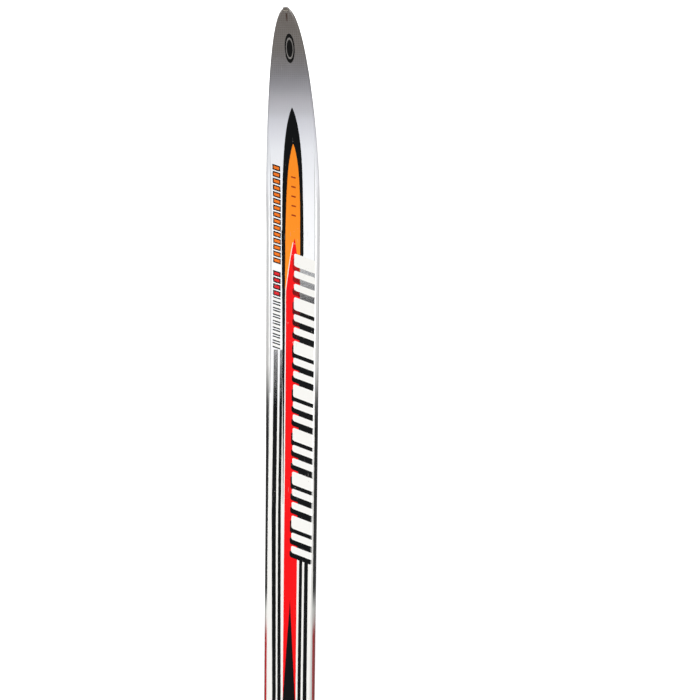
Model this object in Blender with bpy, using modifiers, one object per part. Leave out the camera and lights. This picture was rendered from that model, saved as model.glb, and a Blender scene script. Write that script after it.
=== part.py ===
"""Junior cross-country ski with a moulded cap and a step-in toe binding.

The ski lies flat, as it does on snow: +X runs to the tip, +Y to the left and +Z up, and the origin is on the
ground below the middle of its length. The ski is a sandwich: running base, glass laminate, wood core, glass
laminate and a cap that wraps the top and both sides. The binding is screwed on over the balance point: a spring
jaw holds the boot's bar, and a lever in front of it draws the jaw open.
"""

import math

import bmesh
import bpy
from mathutils import Matrix, Vector

MM = 0.001
GAP = 0.3 * MM                      # between pieces that are bonded, or rest on each other

# ---- The ski's outline, seen from above
SKI_LENGTH = 1600 * MM
SHOVEL_WIDTH = 48.4 * MM            # widest place, where the tip starts to narrow
WAIST_WIDTH = 44.8 * MM
TAIL_WIDTH = 46.6 * MM
TIP_TAPER = 155 * MM                # length over which the tip narrows
TIP_FULLNESS = 1.55                 # larger keeps the tip wide for longer
TIP_ROUNDNESS = 0.43                # 0.5 is an ellipse's nose, less is blunter
TIP_FLAT = 5.2 * MM                 # the trimmed end of the nose
TAIL_CORNER = 9 * MM                # radius of the tail's two corners

# ---- The ski's side view
TIP_RISE = 65 * MM
TIP_RISE_LENGTH = 200 * MM
TAIL_RISE = 6 * MM
TAIL_RISE_LENGTH = 50 * MM
CAMBER = 15 * MM                    # height of the arch under the foot, unloaded
CONTACT_LENGTH = 24 * MM            # flat stretch that touches the ground at each end of the arch
TIP_THICKNESS = 5.7 * MM
SHOVEL_THICKNESS = 6.6 * MM
MID_THICKNESS = 20 * MM
TAIL_THICKNESS = 7.2 * MM

# ---- The layers
BASE_THICKNESS = 1.4 * MM
GROOVE_WIDTH = 7 * MM
GROOVE_DEPTH = 0.9 * MM
GROOVE_SLOPE = 0.6 * MM             # how far each side of the groove leans
GROOVE_RUNOUT = 25 * MM             # length over which the groove fades at its ends
LAMINATE_THICKNESS = 0.6 * MM
CAP_THICKNESS = 0.9 * MM
CAP_TOP_WIDTH = 39.4 * MM           # flat top, between the two rounded shoulders
CAP_LEAST_INSET = 2.0 * MM          # shoulder to edge at the tip and tail
TIP_SPACER_LENGTH = 235 * MM
TAIL_SPACER_LENGTH = 110 * MM
TAIL_PROTECTOR_LENGTH = 14 * MM
TIP_MARGIN = 4 * MM                 # from the nose back to where the inner layers start
TIP_SLOT_WIDTH = 4.0 * MM           # locating slot in the solid nose of the cap
TIP_SLOT_LENGTH = 1.5 * MM
TIP_SLOT_DEPTH = 0.9 * MM
TIP_SLOT_SETBACK = 2.4 * MM
LONG_STEP = 48 * MM                 # distance between sections along the body
SHORT_STEP = 17 * MM                # and where the tip bends

# ---- Where the binding goes
BAR_X = -20 * MM                    # the boot's toe bar, over the balance point
SOLE_LENGTH = 205 * MM              # from the toe bar back to the middle of the heel plate

# ---- The toe binding, measured from the ski's top under the toe bar
BOOT_BAR_DIAMETER = 4.0 * MM
BAR_CLEARANCE = 0.4 * MM            # the notch's play before and behind the bar
TOE_WIDTH = 34 * MM
SIDE_WALL = 4.4 * MM                # either side of the flexor and the lever
BAY_WALL = 5.7 * MM                 # either side of the jaw
TOE_CORNER = 5 * MM
TOE_REAR = -20 * MM
TOE_FRONT = 96 * MM
TOE_PLATE_THICKNESS = 1.5 * MM
FLANGE_HEIGHT = 4.1 * MM            # of the housing's screw flanges
CHEEK_LIP = 1.4 * MM                # how far the cheeks stand above the hook
DECK_THICKNESS = 1.6 * MM
FLANK_HEIGHT = 6.1 * MM             # of the side walls above the deck
SEAT_THICKNESS = 1.2 * MM
SEAT_SIDE = 3.3 * MM                # between the seat and the bay's wall
SEAT_TAIL = 3.6 * MM                # of the seat behind its lip
HOOK_THICKNESS = 1.2 * MM
HOOK_SIDE = 4.3 * MM                # between the hook and the bay's wall
HOOK_REACH = 1.0 * MM               # past the middle of the bar
HOOK_FRONT = 20 * MM
HOOK_TAB = 3.4 * MM
HOOK_CHAMFER = 1.6 * MM             # of the nose, for stepping in
SLIDER_FRONT = 46 * MM
TONGUE_NOSE = 5 * MM                # of the tongue in front of the arm's pocket
TONGUE_HEIGHT = 5.1 * MM
SPRING_SPACE = 17 * MM              # from the slider to the wall that the springs push against
SPRING_RADIUS = 2.2 * MM
SPRING_WIRE = 0.8 * MM
SPRING_TURNS = 6
SPRING_PEG_RADIUS = 1.3 * MM
SPRING_PEG_LENGTH = 6 * MM
FLEXOR_SETBACK = 3.6 * MM           # from the notch to the flexor
FLEXOR_LENGTH = 17 * MM
FLEXOR_HEIGHT = 13 * MM
LEVER_PIVOT_X = 72 * MM
PIVOT_HEIGHT = 5.0 * MM             # above the deck
EAR_RISE = 3.4 * MM                 # of the ears above the pivot
EAR_FRONT = 10.5 * MM               # of the ears in front of the pivot
LEVER_REAR = 45 * MM
LEVER_WELL_SPACE = 3 * MM           # behind the lever
LEVER_THICKNESS = 3.0 * MM
LEVER_SLOPE = math.radians(19)
LEVER_THROW = math.radians(22)      # how far the lever is pressed to open the jaw
ARM_TIP_HEIGHT = 3.1 * MM           # of the arm's tip above the jaw's floor
ARM_TIP_RADIUS = 1.7 * MM
ARM_TIP_PLAY = 0.45 * MM            # in the tongue's pocket, before and behind the tip
ARM_POCKET_WALL = 1.8 * MM          # of the tongue, either side of the pocket
ARM_NECK = 2.1 * MM                 # the arm's thickness where it joins its tip
ARM_ROOT = 3.2 * MM                 # and at the pivot
HUB_RADIUS = 3.0 * MM               # of the lever round its pin
DIMPLE_RADIUS = 4.6 * MM            # where the pole's tip presses
PIN_RADIUS = 1.5 * MM
PIN_SETBACK = 0.8 * MM              # of the pin's ends inside the ears

# ---- The guide rail, the heel plate and the screws
RAIL_LENGTH = 128 * MM
RAIL_WIDTH = 30 * MM
RAIL_BASE = 3.0 * MM
RAIL_RAMP = 16 * MM                 # length of the slope at the rail's rear end
RIDGE_WIDTH = 11 * MM
RIDGE_HEIGHT = 9.2 * MM
HEEL_LENGTH = 62 * MM
HEEL_WIDTH = 38 * MM
HEEL_THICKNESS = 3.2 * MM
HEEL_RIDGE_HEIGHT = 6.0 * MM
HEEL_RIDGE_CHAMFER = 1 * MM
HEEL_CORNER = 6 * MM
HEEL_RIB_COUNT = 5
HEEL_RIB_WIDTH = 1.6 * MM
HEEL_RIB_DEPTH = 0.8 * MM
REINFORCEMENT_THICKNESS = 1.0 * MM
REINFORCEMENT_WIDTH = 33 * MM
SCREW_SHANK_RADIUS = 2.1 * MM
SCREW_HEAD_RADIUS = 3.8 * MM
SCREW_HEAD_HEIGHT = 2.2 * MM
SCREW_LENGTH = 15 * MM
SCREW_POINT = 3 * MM
SCREW_SIDES = 14
RECESS_LENGTH = 4.4 * MM            # of the screw head's cross recess
RECESS_WIDTH = 1.1 * MM
RECESS_DEPTH = 1.4 * MM
OVERCUT = 1 * MM                    # how far a cutter runs past the face it opens
ABOVE_ALL = 40 * MM                 # higher than anything on the ski's top

# ---- Worked out from the sizes above
TIP_X = SKI_LENGTH / 2
TAIL_X = -SKI_LENGTH / 2
FRONT_CONTACT = TIP_X - TIP_RISE_LENGTH
REAR_CONTACT = TAIL_X + TAIL_RISE_LENGTH
ARCH_FRONT = FRONT_CONTACT - CONTACT_LENGTH
ARCH_REAR = REAR_CONTACT + CONTACT_LENGTH
SHOVEL_X = TIP_X - TIP_TAPER
PLATFORM_FRONT = BAR_X + TOE_FRONT + 12 * MM
PLATFORM_REAR = BAR_X + TOE_REAR - RAIL_LENGTH - 6 * MM
HEEL_X = BAR_X - SOLE_LENGTH
HEEL_FRONT = HEEL_X + HEEL_LENGTH / 2 + 2 * MM
HEEL_REAR = HEEL_X - HEEL_LENGTH / 2 - 2 * MM
CORE_FRONT = TIP_X - TIP_SPACER_LENGTH
CORE_REAR = TAIL_X + TAIL_SPACER_LENGTH
BODY_REAR = TAIL_X + TAIL_PROTECTOR_LENGTH
LAMINATE_INSET = CAP_THICKNESS + GAP
CORE_INSET = LAMINATE_INSET + LAMINATE_THICKNESS + GAP

FLOOR = GAP + TOE_PLATE_THICKNESS + GAP             # underside of the housing and the jaw
SEAT_TOP = FLOOR + SEAT_THICKNESS
BAR_Z = SEAT_TOP + GAP + BOOT_BAR_DIAMETER / 2
HOOK_BOTTOM = BAR_Z + BOOT_BAR_DIAMETER / 2 + GAP
HOOK_TOP = HOOK_BOTTOM + HOOK_THICKNESS
DECK_BOTTOM = HOOK_TOP + GAP
DECK_TOP = DECK_BOTTOM + DECK_THICKNESS
FLANGE_TOP = FLOOR + FLANGE_HEIGHT
LEVER_PIVOT_Z = DECK_TOP + PIVOT_HEIGHT
LEVER_ARM = LEVER_PIVOT_Z - FLOOR - ARM_TIP_HEIGHT  # from the pivot down into the tongue's pocket
JAW_TRAVEL = LEVER_ARM * math.sin(LEVER_THROW)

BAR_NOTCH = BOOT_BAR_DIAMETER + 2 * BAR_CLEARANCE
SLIDER_REAR = BAR_NOTCH / 2
SEAT_FRONT = SLIDER_REAR - GAP
BAY_REAR = -BAR_NOTCH / 2 - SEAT_THICKNESS - GAP
SEAT_REAR = -BAR_NOTCH / 2 - SEAT_THICKNESS - SEAT_TAIL
FLEXOR_REAR = BAR_NOTCH / 2 + FLEXOR_SETBACK
TONGUE_FRONT = LEVER_PIVOT_X + TONGUE_NOSE
SPRING_END = SLIDER_FRONT + SPRING_SPACE
LEVER_WELL_REAR = LEVER_REAR - LEVER_WELL_SPACE
BAY_WIDTH = TOE_WIDTH - 2 * BAY_WALL
SEAT_WIDTH = BAY_WIDTH - 2 * SEAT_SIDE
HOOK_WIDTH = BAY_WIDTH - 2 * HOOK_SIDE
SPRING_CHANNEL = 2 * (SPRING_RADIUS + SPRING_WIRE / 2 + GAP)    # between the tongue and the bay's wall
TONGUE_WIDTH = BAY_WIDTH - 2 * SPRING_CHANNEL
SPRING_OFFSET = (TONGUE_WIDTH + SPRING_CHANNEL) / 2
ARM_WIDTH = TONGUE_WIDTH - 2 * (ARM_POCKET_WALL + GAP)
LEVER_WIDTH = TOE_WIDTH - 2 * (SIDE_WALL + 2 * GAP)
FLEXOR_WIDTH = TOE_WIDTH - 2 * (SIDE_WALL + GAP)


# ---- Scene, collections and materials

for old in list(bpy.data.objects):
    bpy.data.objects.remove(old, do_unlink=True)

parts = bpy.data.collections.new("cross_country_ski")
cutters = bpy.data.collections.new("cutters")
for group in (parts, cutters):
    bpy.context.scene.collection.children.link(group)


def finish(obj, colour, roughness, metallic=0.0):
    """Give a piece its own Principled material."""
    material = bpy.data.materials.new(obj.name)
    material.use_nodes = True
    shader = material.node_tree.nodes["Principled BSDF"]
    shader.inputs["Base Color"].default_value = (*colour, 1.0)
    shader.inputs["Roughness"].default_value = roughness
    shader.inputs["Metallic"].default_value = metallic
    obj.data.materials.clear()
    obj.data.materials.append(material)
    return obj


def as_cutter(obj):
    """Move a shape that only cuts or joins to the cutters' collection."""
    obj.hide_render = True
    obj.display_type = "WIRE"
    for group in list(obj.users_collection):
        group.objects.unlink(obj)
    cutters.objects.link(obj)
    return obj


def add_boolean(obj, tool, operation):
    modifier = obj.modifiers.new(tool.name, "BOOLEAN")
    modifier.operation = operation
    modifier.object = tool


def cut(obj, *tools):
    for tool in tools:
        add_boolean(obj, tool, "DIFFERENCE")


def unite(obj, *tools):
    for tool in tools:
        add_boolean(obj, as_cutter(tool), "UNION")


def new_object(name, mesh, parent=None):
    obj = bpy.data.objects.new(name, mesh)
    parts.objects.link(obj)
    obj.parent = parent
    return obj


# ---- Basic shapes, each placed in its parent's frame

def box(name, low, high, parent=None):
    """A box between two corners."""
    size = Vector(high) - Vector(low)
    centre = (Vector(high) + Vector(low)) / 2
    mesh = bpy.data.meshes.new(name)
    bm = bmesh.new()
    bmesh.ops.create_cube(bm, size=1.0, matrix=Matrix.Translation(centre) @ Matrix.Diagonal((*size, 1.0)))
    bm.to_mesh(mesh)
    bm.free()
    return new_object(name, mesh, parent)


def cross_cylinder(name, radius, length, x, z, parent=None, sides=20):
    """A cylinder along Y."""
    mesh = bpy.data.meshes.new(name)
    bm = bmesh.new()
    turn = Matrix.Translation((x, 0, z)) @ Matrix.Rotation(math.pi / 2, 4, "X")
    bmesh.ops.create_cone(bm, cap_ends=True, segments=sides, radius1=radius, radius2=radius, depth=length,
                          matrix=turn)
    bm.to_mesh(mesh)
    bm.free()
    return new_object(name, mesh, parent)


def rounded(corners, radius, steps=4):
    """An outline with each corner turned into an arc; radius is one value, or one for each corner."""
    radii = radius if isinstance(radius, (list, tuple)) else [radius] * len(corners)
    outline = []
    for i, corner in enumerate(corners):
        here = Vector(corner)
        before = (Vector(corners[i - 1]) - here).normalized()
        after = (Vector(corners[(i + 1) % len(corners)]) - here).normalized()
        half_angle = before.angle(after) / 2
        if radii[i] <= 0:
            outline.append(here)
            continue
        reach = radii[i] / math.tan(half_angle)
        centre = here + (before + after).normalized() * radii[i] / math.sin(half_angle)
        start = here + before * reach - centre
        end = here + after * reach - centre
        sweep = start.angle(end)
        for k in range(steps + 1):
            t = k / steps
            point = (start * math.sin((1 - t) * sweep) + end * math.sin(t * sweep)) / math.sin(sweep)
            outline.append(centre + point)
    return outline


def flat_shape(name, outline, thickness, turn, parent=None):
    """A closed outline, extruded evenly to both sides and turned into place."""
    curve = bpy.data.curves.new(name, "CURVE")
    curve.dimensions = "2D"
    curve.fill_mode = "BOTH"
    curve.extrude = thickness / 2
    spline = curve.splines.new("POLY")
    spline.points.add(len(outline) - 1)
    for point, (u, v) in zip(spline.points, outline):
        point.co = (u, v, 0, 1)
    spline.use_cyclic_u = True
    source = new_object(name + "_outline", curve)
    mesh = bpy.data.meshes.new_from_object(source.evaluated_get(bpy.context.evaluated_depsgraph_get()))
    bpy.data.objects.remove(source, do_unlink=True)
    bm = bmesh.new()
    bm.from_mesh(mesh)
    bmesh.ops.remove_doubles(bm, verts=bm.verts, dist=0.001 * MM)
    bmesh.ops.transform(bm, matrix=turn, verts=bm.verts)
    bmesh.ops.recalc_face_normals(bm, faces=bm.faces)
    bm.to_mesh(mesh)
    bm.free()
    return new_object(name, mesh, parent)


def side_profile(name, outline, width, parent=None):
    """An outline in X and Z, as wide as given across Y."""
    return flat_shape(name, outline, width, Matrix.Rotation(math.pi / 2, 4, "X"), parent)


def plan_plate(name, outline, low, high, parent=None):
    """An outline in X and Y, from one height to another."""
    return flat_shape(name, outline, high - low, Matrix.Translation((0, 0, (low + high) / 2)), parent)


def long_profile(name, outline, rear, front, parent=None):
    """An outline in Y and Z, drawn out along X."""
    turn = Matrix.Translation(((rear + front) / 2, 0, 0)) @ Matrix.Rotation(math.pi / 2, 4, "Z")
    turn = turn @ Matrix.Rotation(math.pi / 2, 4, "X")
    return flat_shape(name, outline, front - rear, turn, parent)


def rectangle(rear, front, half):
    return [(rear, -half), (front, -half), (front, half), (rear, half)]


def round_edges(obj, width, segments=2, angle=math.radians(40)):
    modifier = obj.modifiers.new("rounded_edges", "BEVEL")
    modifier.width = width
    modifier.segments = segments
    modifier.limit_method = "ANGLE"
    modifier.angle_limit = angle


def turned(name, profile, sides, parent=None, location=(0, 0, 0)):
    """A solid of revolution about Z: the profile runs down its outer side, from the axis to the axis."""
    mesh = bpy.data.meshes.new(name)
    bm = bmesh.new()
    points = [bm.verts.new((radius, 0, height)) for radius, height in profile]
    for first, second in zip(points, points[1:]):
        bm.edges.new((first, second))
    bm.to_mesh(mesh)
    bm.free()
    obj = new_object(name, mesh, parent)
    obj.location = location
    screw = obj.modifiers.new("turned", "SCREW")
    screw.steps = sides
    screw.render_steps = sides
    screw.use_merge_vertices = True
    screw.merge_threshold = 0.01 * MM
    return obj


# ---- The ski's shape as functions of X

def ease(t):
    """0 to 1 with level ends."""
    t = min(max(t, 0.0), 1.0)
    return t * t * (3 - 2 * t)


def blend(first, second, t):
    return first + (second - first) * t


def half_width(x):
    """Half the ski's width at its base."""
    from_tip = TIP_X - x
    from_tail = x - TAIL_X
    if from_tip < TIP_TAPER:
        full = (1 - (1 - from_tip / TIP_TAPER) ** TIP_FULLNESS) ** TIP_ROUNDNESS
        return max(SHOVEL_WIDTH / 2 * full, TIP_FLAT / 2)
    if x > BAR_X:
        return blend(WAIST_WIDTH, SHOVEL_WIDTH, ease((x - BAR_X) / (SHOVEL_X - BAR_X))) / 2
    half = blend(WAIST_WIDTH, TAIL_WIDTH, ease((BAR_X - x) / (BAR_X - REAR_CONTACT))) / 2
    if from_tail < TAIL_CORNER:
        half -= TAIL_CORNER - math.sqrt(TAIL_CORNER ** 2 - (TAIL_CORNER - from_tail) ** 2)
    return half


def bottom_z(x):
    """Height of the running surface: risen tip, arched middle, slightly risen tail."""
    if x > FRONT_CONTACT:
        return TIP_RISE * ((x - FRONT_CONTACT) / TIP_RISE_LENGTH) ** 2
    if x < REAR_CONTACT:
        return TAIL_RISE * ((REAR_CONTACT - x) / TAIL_RISE_LENGTH) ** 2
    if x >= ARCH_FRONT or x <= ARCH_REAR:
        return 0.0
    middle = (ARCH_FRONT + ARCH_REAR) / 2
    share = (x - middle) / (ARCH_FRONT - middle)
    return CAMBER * (1 - share * share) ** 2


PLATFORM_Z = bottom_z(BAR_X) + MID_THICKNESS


def top_z(x):
    """Height of the top sheet: level under the toe binding, and falling from there to both ends."""
    if x > FRONT_CONTACT:
        return bottom_z(x) + blend(SHOVEL_THICKNESS, TIP_THICKNESS, (x - FRONT_CONTACT) / TIP_RISE_LENGTH)
    if x < REAR_CONTACT:
        return bottom_z(x) + TAIL_THICKNESS
    if x > PLATFORM_FRONT:
        return blend(PLATFORM_Z, SHOVEL_THICKNESS, ease((x - PLATFORM_FRONT) / (FRONT_CONTACT - PLATFORM_FRONT)))
    if x < PLATFORM_REAR:
        return blend(PLATFORM_Z, TAIL_THICKNESS, ease((PLATFORM_REAR - x) / (PLATFORM_REAR - REAR_CONTACT)))
    return PLATFORM_Z


def shoulder_inset(x):
    """How far the cap's flat top stops short of the ski's edge."""
    return max(half_width(x) - CAP_TOP_WIDTH / 2, min(CAP_LEAST_INSET, 0.5 * half_width(x)))


def cap_half_section(x, inset, foot):
    """Half of the cap's outline at x, moved inwards by inset and cut off level at its foot."""
    half = half_width(x)
    side = shoulder_inset(x)
    low = bottom_z(x) + BASE_THICKNESS + GAP
    height = top_z(x) - low - inset
    edge = (half - inset, low)
    waist = (half - 0.15 * side - inset, low + 0.45 * height)
    bend = (half - 0.60 * side - 0.80 * inset, low + 0.86 * height)
    shoulder = (half - side - 0.60 * inset, low + height)

    def side_at(z):
        below, above = (edge, waist) if z < waist[1] else (waist, bend)
        share = max((z - below[1]) / (above[1] - below[1]), 0.0)
        return blend(below[0], above[0], share), z

    return [side_at(foot), side_at(max(waist[1], blend(foot, bend[1], 0.25))), bend, shoulder]


def mirrored(half_section):
    """A closed outline from its right half, foot first."""
    return [(-y, z) for y, z in half_section] + [(y, z) for y, z in reversed(half_section)]


def sections(rear, front):
    """The places along X where a layer has a section: its ends, even steps, and each change of shape."""
    places = {rear, front}
    places.update((PLATFORM_REAR, PLATFORM_FRONT, HEEL_REAR, HEEL_FRONT))
    places.update((ARCH_REAR, ARCH_FRONT, REAR_CONTACT, FRONT_CONTACT, SHOVEL_X))
    places.update(TAIL_X + share * TAIL_CORNER for share in (0.0, 0.07, 0.25, 0.55, 1.0))
    places.update(TIP_X - distance * MM for distance in (0, 0.6, 1.5, 3, 5, 8, 12, 18))
    long_steps = math.ceil((FRONT_CONTACT - REAR_CONTACT) / LONG_STEP)
    places.update(blend(REAR_CONTACT, FRONT_CONTACT, k / long_steps) for k in range(long_steps))
    short_steps = math.ceil(TIP_RISE_LENGTH / SHORT_STEP)
    places.update(blend(FRONT_CONTACT, TIP_X, k / short_steps) for k in range(short_steps))
    places = sorted(x for x in places if rear <= x <= front)
    places = [x for x in places if not HEEL_REAR < x < HEEL_FRONT]
    kept = [places[0]]
    for x in places[1:-1]:
        if x - kept[-1] > 0.4 * MM and places[-1] - x > 0.4 * MM:
            kept.append(x)
    return kept + [places[-1]]


def loft(name, rear, front, section):
    """A closed skin through the outlines that section(x) gives in Y and Z, with flat ends."""
    mesh = bpy.data.meshes.new(name)
    bm = bmesh.new()
    rings = [[bm.verts.new((x, y, z)) for y, z in section(x)] for x in sections(rear, front)]
    count = len(rings[0])
    for first, second in zip(rings, rings[1:]):
        for i in range(count):
            j = (i + 1) % count
            bm.faces.new((first[i], first[j], second[j], second[i]))
    bm.faces.new(rings[0])
    bm.faces.new(rings[-1])
    bmesh.ops.recalc_face_normals(bm, faces=bm.faces)
    bm.to_mesh(mesh)
    bm.free()
    return new_object(name, mesh)


# ---- The ski's layers, from the ground up

def base_section(x):
    low = bottom_z(x)
    high = low + BASE_THICKNESS
    half = half_width(x)
    run = min(ARCH_FRONT + CONTACT_LENGTH - x, x - (ARCH_REAR - CONTACT_LENGTH))
    depth = GROOVE_DEPTH * ease(run / GROOVE_RUNOUT)
    groove = min(GROOVE_WIDTH / 2, 0.4 * half)
    slope = min(GROOVE_SLOPE, 0.3 * groove)
    half_section = [(half, low), (half, high)]
    bottom = [(-groove, low), (-groove + slope, low + depth), (groove - slope, low + depth), (groove, low)]
    left = [(-y, z) for y, z in reversed(half_section)]
    return left + bottom + half_section


def lower_laminate_section(x):
    low = bottom_z(x) + BASE_THICKNESS + GAP
    half = cap_half_section(x, LAMINATE_INSET, core_floor(x))[0][0]
    return [(-half, low), (half, low), (half, low + LAMINATE_THICKNESS), (-half, low + LAMINATE_THICKNESS)]


def core_floor(x):
    return bottom_z(x) + BASE_THICKNESS + GAP + LAMINATE_THICKNESS + GAP


def cap_section(x):
    return mirrored(cap_half_section(x, 0.0, bottom_z(x) + BASE_THICKNESS + GAP))


def cap_cavity_section(x):
    return mirrored(cap_half_section(x, CAP_THICKNESS, bottom_z(x) + BASE_THICKNESS - GAP))


def upper_laminate_section(x):
    outside = mirrored(cap_half_section(x, LAMINATE_INSET, core_floor(x)))
    inside = mirrored(cap_half_section(x, LAMINATE_INSET + LAMINATE_THICKNESS, core_floor(x)))
    return outside + inside[::-1]


def core_section(x):
    return mirrored(cap_half_section(x, CORE_INSET, core_floor(x)))


def end_block_section(x):
    return mirrored(cap_half_section(x, 0.0, bottom_z(x)))


running_base = finish(loft("running_base", BODY_REAR + GAP, TIP_X, base_section), (0.02, 0.02, 0.022), 0.35)

lower_laminate = loft("lower_laminate", BODY_REAR + GAP, TIP_X - TIP_MARGIN, lower_laminate_section)
finish(lower_laminate, (0.62, 0.62, 0.48), 0.5)

core = finish(loft("core", CORE_REAR + GAP, CORE_FRONT - GAP, core_section), (0.80, 0.66, 0.40), 0.8)

tip_spacer = loft("tip_spacer", CORE_FRONT, TIP_X - TIP_MARGIN, core_section)
finish(tip_spacer, (0.80, 0.77, 0.70), 0.5)

tail_spacer = finish(loft("tail_spacer", BODY_REAR + GAP, CORE_REAR, core_section), (0.05, 0.05, 0.05), 0.5)

upper_laminate = loft("upper_laminate", BODY_REAR + GAP, TIP_X - TIP_MARGIN, upper_laminate_section)
finish(upper_laminate, (0.62, 0.62, 0.48), 0.5)

topsheet_cap = finish(loft("topsheet_cap", BODY_REAR + GAP, TIP_X, cap_section), (0.78, 0.79, 0.80), 0.3)
cap_cavity = loft("cap_cavity", BODY_REAR - OVERCUT, TIP_X - TIP_MARGIN + GAP, cap_cavity_section)
cut(topsheet_cap, as_cutter(cap_cavity))

tail_protector = loft("tail_protector", TAIL_X, BODY_REAR, end_block_section)
finish(tail_protector, (0.03, 0.03, 0.03), 0.45)


def cut_tip_slot():
    """A shallow slot with round ends, where a jig holds the nose; it shows the cap's own pale plastic."""
    x = TIP_X - TIP_SLOT_SETBACK
    slope = math.atan(2 * TIP_RISE / TIP_RISE_LENGTH)
    outline = rounded(rectangle(-TIP_SLOT_LENGTH / 2, TIP_SLOT_LENGTH / 2, TIP_SLOT_WIDTH / 2),
                      0.45 * TIP_SLOT_LENGTH)
    slot = plan_plate("tip_slot", outline, -TIP_SLOT_DEPTH, OVERCUT)
    slot.location = (x, 0, top_z(x))
    slot.rotation_euler = (0, -slope, 0)
    cut(topsheet_cap, as_cutter(slot))


cut_tip_slot()


# ---- Frames for the binding: one on the level platform, one on the slope under the heel

def frame_on_top(name, rear, front, x):
    """An empty on the top sheet, tilted as the flat stretch between two sections is."""
    slope = (top_z(front) - top_z(rear)) / (front - rear)
    empty = bpy.data.objects.new(name, None)
    empty.location = (x, 0, top_z(rear) + slope * (x - rear))
    empty.rotation_euler = (0, -math.atan(slope), 0)
    parts.objects.link(empty)
    return empty


toe_frame = frame_on_top("toe_frame", PLATFORM_REAR, PLATFORM_FRONT, BAR_X)
heel_frame = frame_on_top("heel_frame", HEEL_REAR, HEEL_FRONT, HEEL_X)


def add_reinforcement(name, rear, front, frame):
    """A glass plate bonded into the top of the core, which the binding screws bite into."""
    top = -(LAMINATE_INSET + LAMINATE_THICKNESS + GAP)
    half = REINFORCEMENT_WIDTH / 2
    plate = box(name, (rear, -half, top - REINFORCEMENT_THICKNESS), (front, half, top), frame)
    recess = box(name + "_recess", (rear - GAP, -half - GAP, top - REINFORCEMENT_THICKNESS - GAP),
                 (front + GAP, half + GAP, top + OVERCUT), frame)
    cut(core, as_cutter(recess))
    return finish(plate, (0.30, 0.34, 0.22), 0.5)


toe_reinforcement = add_reinforcement("toe_reinforcement", TOE_REAR - RAIL_LENGTH, TOE_FRONT, toe_frame)
heel_reinforcement = add_reinforcement("heel_reinforcement", -HEEL_LENGTH / 2, HEEL_LENGTH / 2, heel_frame)


# ---- Toe binding: base plate, housing and the seat for the boot's bar

def add_toe_base_plate():
    outline = rounded(rectangle(TOE_REAR, TOE_FRONT, TOE_WIDTH / 2), TOE_CORNER)
    plate = plan_plate("toe_base_plate", outline, GAP, GAP + TOE_PLATE_THICKNESS, toe_frame)
    return finish(plate, (0.10, 0.10, 0.11), 0.5)


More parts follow.
